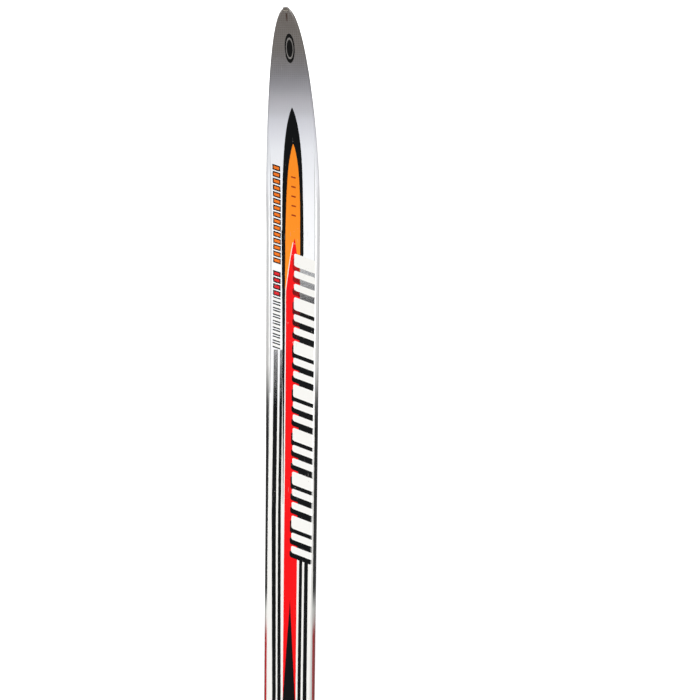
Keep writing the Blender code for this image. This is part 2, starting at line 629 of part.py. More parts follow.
def add_toe_housing():
    """A moulded shell, open below, with screw flanges, cheeks for the bar, a deck and two ears for the pin."""
    cheek_top = HOOK_TOP + CHEEK_LIP
    ear_top = LEVER_PIVOT_Z + EAR_RISE
    ear_front = LEVER_PIVOT_X + EAR_FRONT
    flank = DECK_TOP + FLANK_HEIGHT
    corners = [
        (TOE_REAR, FLOOR), (TOE_FRONT, FLOOR), (TOE_FRONT, FLANGE_TOP), (ear_front + 2 * MM, FLANGE_TOP),
        (ear_front, DECK_TOP + 3 * MM), (LEVER_PIVOT_X + 3 * MM, ear_top), (LEVER_PIVOT_X - 4 * MM, ear_top),
        (LEVER_WELL_REAR, flank), (FLEXOR_REAR + FLEXOR_LENGTH, flank), (FLEXOR_REAR, cheek_top + 2 * MM),
        (BAR_NOTCH / 2 + 1.5 * MM, cheek_top), (BAY_REAR, cheek_top), (BAY_REAR - 3 * MM, FLANGE_TOP),
        (TOE_REAR, FLANGE_TOP),
    ]
    fillets = [0, 0, 1.5 * MM, 1.5 * MM, 2 * MM, 3 * MM, 3 * MM, 6 * MM, 5 * MM, 2 * MM, 0, 1 * MM, 1 * MM, 1 * MM]
    housing = side_profile("toe_housing", rounded(corners, fillets, 3), TOE_WIDTH, toe_frame)
    plan = rounded(rectangle(TOE_REAR, TOE_FRONT, TOE_WIDTH / 2), TOE_CORNER)
    trim = as_cutter(plan_plate("housing_plan", plan, -OVERCUT, ABOVE_ALL, toe_frame))
    add_boolean(housing, trim, "INTERSECT")
    ridge = rounded([(TOE_REAR, FLOOR), (BAY_REAR, FLOOR), (BAY_REAR, cheek_top), (TOE_REAR, cheek_top)], 0)
    unite(housing, side_profile("housing_ridge", ridge, RIDGE_WIDTH, toe_frame))

    bay = BAY_WIDTH / 2
    tongue = TONGUE_WIDTH / 2 + GAP
    tongue_end = TONGUE_FRONT + JAW_TRAVEL + GAP
    top_bay = TOE_WIDTH / 2 - SIDE_WALL
    arm = ARM_WIDTH / 2 + GAP
    arm_rear = LEVER_PIVOT_X - HUB_RADIUS - OVERCUT
    arm_front = LEVER_PIVOT_X + JAW_TRAVEL + HUB_RADIUS
    hollows = {
        "jaw_bay": ((BAY_REAR, -bay, 0), (SPRING_END, bay, DECK_BOTTOM)),
        "bar_bay": ((BAY_REAR, -bay, 0), (FLEXOR_REAR - OVERCUT, bay, ABOVE_ALL)),
        "bar_notch": ((-BAR_NOTCH / 2, -TOE_WIDTH, SEAT_TOP), (BAR_NOTCH / 2, TOE_WIDTH, ABOVE_ALL)),
        "seat_recess": ((SEAT_REAR - GAP, -SEAT_WIDTH / 2 - GAP, 0), (0, SEAT_WIDTH / 2 + GAP, SEAT_TOP + GAP)),
        "tongue_way": ((SLIDER_FRONT, -tongue, 0), (tongue_end, tongue, FLOOR + TONGUE_HEIGHT + 2 * GAP)),
        "flexor_pocket": ((FLEXOR_REAR - OVERCUT, -top_bay, DECK_TOP),
                          (FLEXOR_REAR + FLEXOR_LENGTH + GAP, top_bay, ABOVE_ALL)),
        "lever_well": ((LEVER_WELL_REAR, -top_bay, DECK_TOP), (ear_front + 4 * MM, top_bay, ABOVE_ALL)),
        "arm_window": ((arm_rear, -arm, 0), (arm_front, arm, ABOVE_ALL)),
    }
    for name, (low, high) in hollows.items():
        cut(housing, as_cutter(box(name, low, high, toe_frame)))
    bore = cross_cylinder("pin_bore", PIN_RADIUS + GAP, 2 * TOE_WIDTH, LEVER_PIVOT_X, LEVER_PIVOT_Z, toe_frame)
    cut(housing, as_cutter(bore))
    return finish(housing, (0.06, 0.06, 0.07), 0.42)


def add_bar_seat():
    """A bent steel strip: the bar lies on it, against its upright lip."""
    lip = -BAR_NOTCH / 2
    lip_top = BAR_Z + 0.8 * BOOT_BAR_DIAMETER / 2
    outline = [
        (SEAT_REAR, FLOOR), (SEAT_FRONT, FLOOR), (SEAT_FRONT, SEAT_TOP), (lip, SEAT_TOP), (lip, lip_top),
        (lip - SEAT_THICKNESS, lip_top), (lip - SEAT_THICKNESS, SEAT_TOP), (SEAT_REAR, SEAT_TOP),
    ]
    return finish(side_profile("bar_seat", outline, SEAT_WIDTH, toe_frame), (0.72, 0.73, 0.75), 0.3, 1.0)


toe_base_plate = add_toe_base_plate()
toe_housing = add_toe_housing()
bar_seat = add_bar_seat()


# ---- The jaw: a moulded slider that carries a steel hook, pushed back by two springs

def add_jaw_slider():
    half = BAY_WIDTH / 2 - GAP
    slider = box("jaw_slider", (SLIDER_REAR, -half, FLOOR), (SLIDER_FRONT, half, HOOK_TOP), toe_frame)
    tongue = box("slider_tongue", (SLIDER_FRONT - OVERCUT, -TONGUE_WIDTH / 2, FLOOR),
                 (TONGUE_FRONT, TONGUE_WIDTH / 2, FLOOR + TONGUE_HEIGHT), toe_frame)
    unite(slider, tongue)
    for side in (-1, 1):
        outline = circle(side * SPRING_OFFSET, spring_z(), SPRING_PEG_RADIUS, 10)
        peg = long_profile(f"spring_peg_{side}", outline, SLIDER_FRONT - OVERCUT,
                           SLIDER_FRONT + SPRING_PEG_LENGTH, toe_frame)
        unite(slider, peg)
    step = box("hook_step", (SLIDER_REAR - OVERCUT, -half - OVERCUT, HOOK_BOTTOM - GAP),
               (HOOK_FRONT + GAP, half + OVERCUT, HOOK_TOP + OVERCUT), toe_frame)
    slot = box("tab_slot",
               (HOOK_FRONT - HOOK_THICKNESS - GAP, -HOOK_WIDTH / 2 - GAP, HOOK_BOTTOM - HOOK_TAB - GAP),
               (HOOK_FRONT + GAP, HOOK_WIDTH / 2 + GAP, HOOK_TOP + 2 * OVERCUT), toe_frame)
    pocket_half = ARM_TIP_RADIUS + ARM_TIP_PLAY
    pocket_floor = FLOOR + ARM_TIP_HEIGHT - ARM_TIP_RADIUS - 0.4 * MM
    pocket = box("arm_pocket", (LEVER_PIVOT_X - pocket_half, -ARM_WIDTH / 2 - GAP, pocket_floor),
                 (LEVER_PIVOT_X + pocket_half, ARM_WIDTH / 2 + GAP, FLOOR + TONGUE_HEIGHT + OVERCUT), toe_frame)
    cut(slider, as_cutter(step), as_cutter(slot), as_cutter(pocket))
    return finish(slider, (0.75, 0.16, 0.10), 0.4)


def circle(u, v, radius, sides):
    turns = [2 * math.pi * k / sides for k in range(sides)]
    return [(u + radius * math.cos(a), v + radius * math.sin(a)) for a in turns]


def spring_z():
    return FLOOR + (DECK_BOTTOM - FLOOR) / 2


def add_jaw_hook():
    """A steel plate on the slider, its nose over the boot's bar and its front end bent down into a slot."""
    tab_bottom = HOOK_BOTTOM - HOOK_TAB
    outline = [
        (-HOOK_REACH, HOOK_BOTTOM), (HOOK_FRONT - HOOK_THICKNESS, HOOK_BOTTOM),
        (HOOK_FRONT - HOOK_THICKNESS, tab_bottom), (HOOK_FRONT, tab_bottom), (HOOK_FRONT, HOOK_TOP),
        (HOOK_CHAMFER - HOOK_REACH, HOOK_TOP), (-HOOK_REACH, HOOK_BOTTOM + 0.3 * HOOK_THICKNESS),
    ]
    return finish(side_profile("jaw_hook", outline, HOOK_WIDTH, toe_frame), (0.72, 0.73, 0.75), 0.3, 1.0)


def add_jaw_spring(name, y):
    """A compression spring, wound as a helix along X."""
    rear = SLIDER_FRONT + GAP + SPRING_WIRE / 2
    front = SPRING_END - GAP - SPRING_WIRE / 2
    steps = SPRING_TURNS * 10
    curve = bpy.data.curves.new(name, "CURVE")
    curve.dimensions = "3D"
    curve.bevel_depth = SPRING_WIRE / 2
    curve.bevel_resolution = 1
    curve.use_fill_caps = True
    spline = curve.splines.new("POLY")
    spline.points.add(steps)
    for k, point in enumerate(spline.points):
        angle = 2 * math.pi * SPRING_TURNS * k / steps
        y_here = y + SPRING_RADIUS * math.cos(angle)
        z_here = spring_z() + SPRING_RADIUS * math.sin(angle)
        point.co = (blend(rear, front, k / steps), y_here, z_here, 1)
    spring = new_object(name, curve, toe_frame)
    return finish(spring, (0.65, 0.66, 0.68), 0.3, 1.0)


jaw_slider = add_jaw_slider()
jaw_hook = add_jaw_hook()
jaw_spring_left = add_jaw_spring("jaw_spring_left", SPRING_OFFSET)
jaw_spring_right = add_jaw_spring("jaw_spring_right", -SPRING_OFFSET)


# ---- The flexor, the lever and its pin

def add_flexor():
    """A rubber block that the boot's toe rolls against."""
    low = DECK_TOP + GAP
    high = low + FLEXOR_HEIGHT
    front = FLEXOR_REAR + FLEXOR_LENGTH
    corners = [(FLEXOR_REAR, low), (front, low), (front, high - 5 * MM), (front - 5 * MM, high),
               (FLEXOR_REAR + 3 * MM, high), (FLEXOR_REAR, low + 5 * MM)]
    outline = rounded(corners, [0, 0, 3 * MM, 3 * MM, 3 * MM, 2 * MM])
    flexor = side_profile("flexor", outline, FLEXOR_WIDTH, toe_frame)
    round_edges(flexor, 0.8 * MM)
    return finish(flexor, (0.55, 0.05, 0.05), 0.7)


def add_release_lever():
    """A sloping pad to press with the pole; its arm reaches down into the slider's tongue."""
    lever_frame = bpy.data.objects.new("lever_frame", None)
    lever_frame.parent = toe_frame
    lever_frame.location = (LEVER_PIVOT_X, 0, LEVER_PIVOT_Z)
    parts.objects.link(lever_frame)

    reach = LEVER_PIVOT_X - LEVER_REAR
    hub = HUB_RADIUS
    rise = math.tan(LEVER_SLOPE)
    underside = -0.5 * MM
    top = underside + LEVER_THICKNESS / math.cos(LEVER_SLOPE)
    corners = [(hub, -hub / 2), (hub, top - 0.2 * hub), (-reach, top + rise * reach),
               (-reach, underside + rise * reach), (-hub, underside + rise * hub - hub / 2), (0, -hub)]
    fillets = [0.5 * MM, 2.2 * MM, 1.2 * MM, 1.2 * MM, 0.5 * MM, 2 * MM]
    lever = side_profile("release_lever", rounded(corners, fillets, 3), LEVER_WIDTH, lever_frame)
    round_edges(lever, 0.7 * MM)
    neck = ARM_NECK / 2
    root = ARM_ROOT / 2
    stem = [(-neck, -LEVER_ARM), (neck, -LEVER_ARM), (root, 0), (-root, 0)]
    unite(lever, side_profile("lever_stem", stem, ARM_WIDTH, lever_frame))
    unite(lever, cross_cylinder("lever_toe", ARM_TIP_RADIUS, ARM_WIDTH, 0, -LEVER_ARM, lever_frame, 14))
    cut(lever, as_cutter(cross_cylinder("lever_bore", PIN_RADIUS + GAP, 2 * LEVER_WIDTH, 0, 0, lever_frame)))

    dimple_x = -0.62 * reach
    dimple_z = top - rise * dimple_x
    profile = [(0, 4 * MM), (DIMPLE_RADIUS, 4 * MM), (DIMPLE_RADIUS, 0), (0, -LEVER_THICKNESS / 2)]
    dimple = turned("pole_dimple", profile, 16, lever_frame, (dimple_x, 0, dimple_z))
    dimple.rotation_euler = (0, LEVER_SLOPE, 0)
    cut(lever, as_cutter(dimple))
    return finish(lever, (0.75, 0.04, 0.04), 0.35)


def add_lever_pin():
    length = TOE_WIDTH - 2 * PIN_SETBACK
    pin = cross_cylinder("lever_pin", PIN_RADIUS, length, LEVER_PIVOT_X, LEVER_PIVOT_Z, toe_frame)
    return finish(pin, (0.72, 0.73, 0.75), 0.25, 1.0)


flexor = add_flexor()
release_lever = add_release_lever()
lever_pin = add_lever_pin()


# ---- The guide rail and the heel plate, whose ridge fits the groove in the boot's sole

def ridge_outline(half_base, base, height):
    """Half of a flat strip with a ridge along its middle, mirrored into a closed outline."""
    foot = RIDGE_WIDTH / 2
    half = [(half_base, GAP), (half_base, GAP + 0.6 * base), (half_base - 2 * MM, GAP + base),
            (foot + 0.4 * MM, GAP + base), (foot - 0.4 * MM, GAP + height - 0.8 * MM),
            (foot - 1.2 * MM, GAP + height)]
    return mirrored(half)


def add_guide_rail():
    rear = TOE_REAR - GAP - RAIL_LENGTH
    front = TOE_REAR - GAP
    section = ridge_outline(RAIL_WIDTH / 2, RAIL_BASE, RIDGE_HEIGHT)
    rail = long_profile("guide_rail", section, rear, front, toe_frame)
    above = GAP + RIDGE_HEIGHT + 2 * OVERCUT
    outline = [(rear - OVERCUT, GAP + RAIL_BASE), (rear + RAIL_RAMP, above), (rear - OVERCUT, above)]
    ramp = side_profile("rail_ramp", outline, RAIL_WIDTH, toe_frame)
    cut(rail, as_cutter(ramp))
    return finish(rail, (0.06, 0.06, 0.07), 0.42)


def add_heel_plate():
    """A plate with grip grooves either side of the ridge."""
    rear = -HEEL_LENGTH / 2
    front = HEEL_LENGTH / 2
    outline = rounded(rectangle(rear, front, HEEL_WIDTH / 2), HEEL_CORNER)
    plate = plan_plate("heel_plate", outline, GAP, GAP + HEEL_THICKNESS, heel_frame)
    foot = RIDGE_WIDTH / 2
    high = GAP + HEEL_RIDGE_HEIGHT
    ridge = mirrored([(foot, GAP), (foot, high - HEEL_RIDGE_CHAMFER), (foot - HEEL_RIDGE_CHAMFER, high)])
    unite(plate, long_profile("heel_ridge", ridge, rear, front, heel_frame))
    pitch = (HEEL_LENGTH - 2 * HEEL_CORNER) / HEEL_RIB_COUNT
    for k in range(HEEL_RIB_COUNT):
        x = rear + HEEL_CORNER + (k + 0.5) * pitch
        for side in (-1, 1):
            inner = side * (foot + 3 * MM)
            outer = side * (HEEL_WIDTH / 2 + OVERCUT)
            low = (x - HEEL_RIB_WIDTH / 2, min(inner, outer), GAP + HEEL_THICKNESS - HEEL_RIB_DEPTH)
            high = (x + HEEL_RIB_WIDTH / 2, max(inner, outer), GAP + HEEL_THICKNESS + OVERCUT)
            cut(plate, as_cutter(box(f"heel_groove_{k}_{side}", low, high, heel_frame)))
    return finish(plate, (0.06, 0.06, 0.07), 0.5)


guide_rail = add_guide_rail()
heel_plate = add_heel_plate()


# ---- Screws, each with one clearance shape that cuts every piece it passes through

def screw_mesh():
    """A pan-head wood screw with a cross recess, its head's underside at z = 0."""
    head = SCREW_HEAD_RADIUS
    shank = SCREW_SHANK_RADIUS
    profile = [
        (0, SCREW_HEAD_HEIGHT), (0.62 * head, SCREW_HEAD_HEIGHT), (0.92 * head, 0.68 * SCREW_HEAD_HEIGHT),
        (head, 0.3 * SCREW_HEAD_HEIGHT), (head, 0), (shank, 0), (shank, SCREW_POINT - SCREW_LENGTH),
        (0, -SCREW_LENGTH),
    ]
    model = turned("screw_model", profile, SCREW_SIDES)
    for name, length, width in (("recess_long", RECESS_LENGTH, RECESS_WIDTH),
                                ("recess_cross", RECESS_WIDTH, RECESS_LENGTH)):
        recess = box(name, (-length / 2, -width / 2, SCREW_HEAD_HEIGHT - RECESS_DEPTH),
                     (length / 2, width / 2, SCREW_HEAD_HEIGHT + OVERCUT))
        cut(model, as_cutter(recess))
    mesh = bpy.data.meshes.new_from_object(model.evaluated_get(bpy.context.evaluated_depsgraph_get()))
    mesh.name = "binding_screw"
    bpy.data.objects.remove(model, do_unlink=True)
    return mesh


def add_screw(name, mesh, frame, x, y, seat, fastened):
    screw = new_object(name, mesh.copy(), frame)
    screw.location = (x, y, seat)
    finish(screw, (0.70, 0.71, 0.73), 0.3, 1.0)
    head = SCREW_HEAD_RADIUS + GAP
    shank = SCREW_SHANK_RADIUS + GAP
    profile = [(0, ABOVE_ALL), (head, ABOVE_ALL), (head, -GAP), (shank, -GAP), (shank, -SCREW_LENGTH - GAP),
               (0, -SCREW_LENGTH - GAP)]
    way = as_cutter(turned(name + "_way", profile, SCREW_SIDES, frame, (x, y, seat)))
    for piece in (*fastened, topsheet_cap, upper_laminate, core):
        cut(piece, way)
    return screw


toe_seat = FLANGE_TOP - SCREW_HEAD_HEIGHT - GAP
rail_seat = GAP + RIDGE_HEIGHT - SCREW_HEAD_HEIGHT - 2 * MM
heel_seat = GAP + HEEL_RIDGE_HEIGHT - SCREW_HEAD_HEIGHT - 1 * MM
flange_x = (TOE_REAR + BAY_REAR) / 2 - 1.5 * MM
flange_y = TOE_WIDTH / 2 - SCREW_HEAD_RADIUS - 2 * MM
toe_stack = (toe_housing, toe_base_plate, toe_reinforcement)
rail_stack = (guide_rail, toe_reinforcement)
heel_stack = (heel_plate, heel_reinforcement)

pattern = screw_mesh()
add_screw("toe_screw_front", pattern, toe_frame, TOE_FRONT - 5.8 * MM, 0, toe_seat, toe_stack)
add_screw("toe_screw_left", pattern, toe_frame, flange_x, flange_y, toe_seat, toe_stack)
add_screw("toe_screw_right", pattern, toe_frame, flange_x, -flange_y, toe_seat, toe_stack)
add_screw("rail_screw_front", pattern, toe_frame, TOE_REAR - 0.18 * RAIL_LENGTH, 0, rail_seat, rail_stack)
add_screw("rail_screw_rear", pattern, toe_frame, TOE_REAR - 0.75 * RAIL_LENGTH, 0, rail_seat, rail_stack)
add_screw("heel_screw_front", pattern, heel_frame, 0.3 * HEEL_LENGTH, 0, heel_seat, heel_stack)
add_screw("heel_screw_rear", pattern, heel_frame, -0.3 * HEEL_LENGTH, 0, heel_seat, heel_stack)

for piece in parts.objects:
    if piece.type == "MESH" and piece.name.endswith(("pin", "front", "left", "right", "rear")):
        piece.data.shade_smooth()
        piece.data.set_sharp_from_angle(angle=math.radians(35))
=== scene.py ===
import math

import bmesh
import bpy
from mathutils import Matrix, Vector


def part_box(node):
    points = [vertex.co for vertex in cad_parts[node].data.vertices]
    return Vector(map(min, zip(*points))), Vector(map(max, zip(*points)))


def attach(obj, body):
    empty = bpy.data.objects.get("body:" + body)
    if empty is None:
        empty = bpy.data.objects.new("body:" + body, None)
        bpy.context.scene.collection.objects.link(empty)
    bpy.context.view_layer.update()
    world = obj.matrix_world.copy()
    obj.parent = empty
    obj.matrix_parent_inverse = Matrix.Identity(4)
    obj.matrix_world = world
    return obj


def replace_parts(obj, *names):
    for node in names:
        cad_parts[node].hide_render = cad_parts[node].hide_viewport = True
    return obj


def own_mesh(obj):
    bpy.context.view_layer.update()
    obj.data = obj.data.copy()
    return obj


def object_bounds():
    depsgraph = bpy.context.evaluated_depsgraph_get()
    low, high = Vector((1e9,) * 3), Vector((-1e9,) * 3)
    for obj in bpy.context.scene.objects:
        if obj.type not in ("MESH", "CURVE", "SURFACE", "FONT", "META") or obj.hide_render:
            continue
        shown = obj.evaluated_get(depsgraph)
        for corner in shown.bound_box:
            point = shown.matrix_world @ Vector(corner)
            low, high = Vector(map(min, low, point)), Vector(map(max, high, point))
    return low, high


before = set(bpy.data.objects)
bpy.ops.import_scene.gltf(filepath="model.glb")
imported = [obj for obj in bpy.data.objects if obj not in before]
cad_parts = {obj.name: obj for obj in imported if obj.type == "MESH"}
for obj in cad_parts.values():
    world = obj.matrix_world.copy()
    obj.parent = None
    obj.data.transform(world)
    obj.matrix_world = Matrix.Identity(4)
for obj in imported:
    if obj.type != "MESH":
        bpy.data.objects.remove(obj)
cad_low, cad_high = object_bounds()


# ---- The studio: a white light table under the ski, soft light from both sides, and the view from above.
# The camera stands to the right of this ski, over the front half, because a second ski lay there beside it.
# The softboxes are low and the room is dim, so the glossy cap keeps its deep blacks.

MM = 0.001
CAMERA_HEIGHT = 1.05
CAMERA_BEHIND_TIP = 245.2 * MM
CAMERA_RIGHT = 110.9 * MM           # of the ski's centre line
CAMERA_LENS = 59.5
CAMERA_PAN = math.radians(3.19)     # back towards the ski
CAMERA_PITCH = math.radians(-2.50)
CAMERA_ROLL = math.radians(0.40)
FLOOR_SIZE = 12.0


def linear(colour):
    """The linear colour of an sRGB hex value such as "c0392b"."""
    channels = [int(colour[i:i + 2], 16) / 255 for i in (0, 2, 4)]
    return tuple(c / 12.92 if c <= 0.04045 else ((c + 0.055) / 1.055) ** 2.4 for c in channels) + (1.0,)


def plug(tree, made, sockets):
    """Fill a node's sockets, each with a value, another node's socket, or a node for its first output."""
    pairs = sockets.items() if isinstance(sockets, dict) else enumerate(sockets)
    for place, value in pairs:
        if isinstance(value, bpy.types.Node):
            value = value.outputs[0]
        if isinstance(value, bpy.types.NodeSocket):
            tree.links.new(value, made.inputs[place])
        else:
            made.inputs[place].default_value = value


def node(tree, kind, sockets=(), stops=(), **settings):
    """Add a node with its settings and sockets; stops are the places and colours of a colour ramp."""
    made = tree.nodes.new("ShaderNode" + kind)
    for name, value in settings.items():
        setattr(made, name, value)
    plug(tree, made, sockets)
    for i, (position, colour) in enumerate(stops):
        ramp = made.color_ramp.elements
        stop = ramp[i] if i < 1 or i == len(stops) - 1 < len(ramp) else ramp.new(position)
        stop.position = position
        stop.color = linear(colour)
    return made


def new_material(name):
    """An empty material: its node tree with a Principled shader joined to the output."""
    material = bpy.data.materials.new(name)
    material.use_nodes = True
    return material, material.node_tree, material.node_tree.nodes["Principled BSDF"]


def add_object(name, bm):
    """Put a finished mesh into the scene as an object."""
    mesh = bpy.data.meshes.new(name)
    bm.to_mesh(mesh)
    bm.free()
    made = bpy.data.objects.new(name, mesh)
    scene.collection.objects.link(made)
    return made


scene = bpy.context.scene
scene.view_settings.view_transform = "Standard"

camera = bpy.data.objects.new("camera", bpy.data.cameras.new("camera"))
camera.data.lens = CAMERA_LENS
camera.data.sensor_width = 36.0
camera.matrix_world = (
    Matrix.Translation((cad_high.x - CAMERA_BEHIND_TIP, -CAMERA_RIGHT, CAMERA_HEIGHT))
    @ Matrix.Rotation(-math.pi / 2, 4, "Z")
    @ Matrix.Rotation(CAMERA_PAN, 4, "Y")
    @ Matrix.Rotation(CAMERA_PITCH, 4, "X")
    @ Matrix.Rotation(CAMERA_ROLL, 4, "Z")
)
scene.collection.objects.link(camera)
scene.camera = camera

bm = bmesh.new()
bmesh.ops.create_grid(bm, x_segments=1, y_segments=1, size=FLOOR_SIZE / 2)
studio_floor = add_object("studio_floor", bm)

# Opal acrylic of a light table: it glows evenly, so only a faint shadow is left on it. What the ski itself
# mirrors of it is dim, as it is under flags, so the black sides stay black.
opal, tree, shader = new_material("opal_acrylic_light_table")
plug(tree, shader, {"Base Color": linear("fbfbfb"), "Roughness": 0.9, "Specular IOR Level": 0.1,
                    "Emission Color": linear("ffffff"), "Emission Strength": 0.6})
flagged = node(tree, "BsdfDiffuse", {"Color": linear("6a6a6a")})
ray = node(tree, "LightPath")
mixed = node(tree, "MixShader", [ray.outputs["Is Camera Ray"], flagged, shader])
plug(tree, tree.nodes["Material Output"], {"Surface": mixed})
studio_floor.data.materials.append(opal)

world = bpy.data.worlds.new("studio")
world.use_nodes = True
scene.world = world
tree = world.node_tree
seen = node(tree, "Background", {"Color": linear("ffffff"), "Strength": 1.0})
felt = node(tree, "Background", {"Color": linear("ffffff"), "Strength": 0.09})
ray = node(tree, "LightPath")
mixed = node(tree, "MixShader", [ray.outputs["Is Camera Ray"], felt, seen])
plug(tree, tree.nodes["World Output"], {"Surface": mixed})

# Each softbox stands far off, so it lights the whole length evenly. Its spread is its width in degrees, as
# it looks from the ski.
for name, azimuth, height, strength, spread in (
    ("softbox_right", -90, 32, 2.00, 20),
    ("softbox_left", 90, 32, 1.55, 24),
    ("softbox_front", 8, 52, 1.66, 30),
):
    light = bpy.data.lights.new(name, "SUN")
    light.energy = strength
    light.angle = math.radians(spread)
    softbox = bpy.data.objects.new(name, light)
    direction = Vector((math.cos(math.radians(azimuth)) * math.cos(math.radians(height)),
                        math.sin(math.radians(azimuth)) * math.cos(math.radians(height)),
                        math.sin(math.radians(height))))
    softbox.rotation_euler = direction.to_track_quat("Z", "Y").to_euler()
    scene.collection.objects.link(softbox)


# ---- Running base: a strip of black polyethylene, pressed with a centre groove that keeps the ski straight.
# Under the foot it has moulded grip scales, rows of shallow steps that slide forwards and bite backwards.
# The layers above it follow the same outline and bend, which are given here as functions of X.

SHOVEL_WIDTH = 48.4 * MM
WAIST_WIDTH = 44.8 * MM
TAIL_WIDTH = 46.6 * MM
TIP_TAPER = 155 * MM
TIP_FULLNESS = 1.55
TIP_ROUNDNESS = 0.43
TIP_FLAT = 5.2 * MM
TIP_RISE = 65 * MM
TIP_RISE_LENGTH = 200 * MM
TAIL_RISE = 6 * MM
TAIL_RISE_LENGTH = 50 * MM
CAMBER = 15 * MM
CONTACT_LENGTH = 24 * MM
TIP_THICKNESS = 5.7 * MM
SHOVEL_THICKNESS = 6.6 * MM
MID_THICKNESS = 20 * MM
TAIL_THICKNESS = 7.2 * MM
GAP = 0.3 * MM                      # between pieces that are bonded

TIP_X = cad_high.x
TAIL_X = cad_low.x
BAR_X = -20 * MM                    # the boot's toe bar, over the balance point
BODY_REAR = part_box("topsheet_cap")[0].x
FRONT_CONTACT = TIP_X - TIP_RISE_LENGTH
REAR_CONTACT = TAIL_X + TAIL_RISE_LENGTH
ARCH_FRONT = FRONT_CONTACT - CONTACT_LENGTH
ARCH_REAR = REAR_CONTACT + CONTACT_LENGTH
PLATFORM_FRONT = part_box("toe_base_plate")[1].x + 12 * MM     # the cap is level under the toe and the rail
PLATFORM_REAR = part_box("guide_rail")[0].x - 5.7 * MM
HEEL_X = (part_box("heel_plate")[0].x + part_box("heel_plate")[1].x) / 2
HEEL_HALF = 33 * MM                 # the cap is straight this far from the heel plate's middle
HEEL_FRONT = HEEL_X + HEEL_HALF
HEEL_REAR = HEEL_X - HEEL_HALF


def ease(t):
    """0 to 1 with level ends."""
    t = min(max(t, 0.0), 1.0)
    return t * t * (3 - 2 * t)


def blend(first, second, t):
    return first + (second - first) * t


def half_width(x):
    from_tip = TIP_X - x
    if from_tip < TIP_TAPER:
        full = (1 - (1 - from_tip / TIP_TAPER) ** TIP_FULLNESS) ** TIP_ROUNDNESS
        return max(SHOVEL_WIDTH / 2 * full, TIP_FLAT / 2)
    if x > BAR_X:
        return blend(WAIST_WIDTH, SHOVEL_WIDTH, ease((x - BAR_X) / (TIP_X - TIP_TAPER - BAR_X))) / 2
    return blend(WAIST_WIDTH, TAIL_WIDTH, ease((BAR_X - x) / (BAR_X - REAR_CONTACT))) / 2


def bottom_z(x):
    if x > FRONT_CONTACT:
        return TIP_RISE * ((x - FRONT_CONTACT) / TIP_RISE_LENGTH) ** 2
    if x < REAR_CONTACT:
        return TAIL_RISE * ((REAR_CONTACT - x) / TAIL_RISE_LENGTH) ** 2
    if x >= ARCH_FRONT or x <= ARCH_REAR:
        return 0.0
    middle = (ARCH_FRONT + ARCH_REAR) / 2
    share = (x - middle) / (ARCH_FRONT - middle)
    return CAMBER * (1 - share * share) ** 2


PLATFORM_Z = bottom_z(BAR_X) + MID_THICKNESS


def top_z(x):
    if x > FRONT_CONTACT:
        return bottom_z(x) + blend(SHOVEL_THICKNESS, TIP_THICKNESS, (x - FRONT_CONTACT) / TIP_RISE_LENGTH)
    if x < REAR_CONTACT:
        return bottom_z(x) + TAIL_THICKNESS
    if x > PLATFORM_FRONT:
        ahead = (x - PLATFORM_FRONT) / (FRONT_CONTACT - PLATFORM_FRONT)
        return blend(PLATFORM_Z, SHOVEL_THICKNESS, ease(ahead))
    return blend(PLATFORM_Z, TAIL_THICKNESS, ease((PLATFORM_REAR - x) / (PLATFORM_REAR - REAR_CONTACT)))


def stations(rear, front, step):
    """Places along the ski from rear to front, closer together where the nose turns in."""
    nose = [TIP_X - TIP_TAPER * (k / 40) ** 2 for k in range(40, -1, -1)]
    count = math.ceil((nose[0] - rear) / step)
    body = [blend(rear, nose[0], k / count) for k in range(count)]
    body = [x for x in body if not HEEL_REAR <= x <= HEEL_FRONT] + [HEEL_REAR, HEEL_FRONT]
    return sorted(body) + [x for x in nose if x <= front]


def loft(name, places, ring):
    """A closed skin through the closed outlines that ring(x) gives in Y and Z, with ends of paired points."""
    bm = bmesh.new()
    rings = [[bm.verts.new((x, y, z)) for y, z in ring(x)] for x in places]
    count = len(rings[0])
    for first, second in zip(rings, rings[1:]):
        for i in range(count):
            j = (i + 1) % count
            bm.faces.new((first[i], first[j], second[j], second[i]))
    for end in (rings[0], rings[-1]):
        for i in range(count // 2 - 1):
            bm.faces.new((end[i], end[i + 1], end[count - 2 - i], end[count - 1 - i]))
    bmesh.ops.recalc_face_normals(bm, faces=bm.faces)
    return add_object(name, bm)


def smooth(piece, angle=35):
    """Shade a piece smooth, with sharp edges where it turns by more than the angle."""
    piece.data.shade_smooth()
    piece.data.set_sharp_from_angle(angle=math.radians(angle))
    return piece


BASE_THICKNESS = 1.4 * MM
BASE_EDGE = 0.25 * MM               # rounding of the two lower edges
GROOVE_HALF = 3.5 * MM
GROOVE_DEPTH = 0.9 * MM
GROOVE_SLOPE = 0.6 * MM
GROOVE_RUNOUT = 25 * MM
GRIP_REAR = -230 * MM
GRIP_FRONT = 190 * MM
SCALE_PITCH = 8.0 * MM              # from one step to the next along the ski
SCALE_DEPTH = 0.5 * MM
SCALE_WIDTH = 6.5 * MM              # of one crescent, across
SCALE_BOW = 3.0 * MM                # how far a crescent's middle lies ahead of its ends
SCALE_MARGIN = 1.2 * MM             # smooth strip along the groove and along the edge
STATION_STEP = 10 * MM              # between the outlines that a long piece's skin is drawn through
SCALE_STEP = 1.0 * MM               # the same where the grip scales are


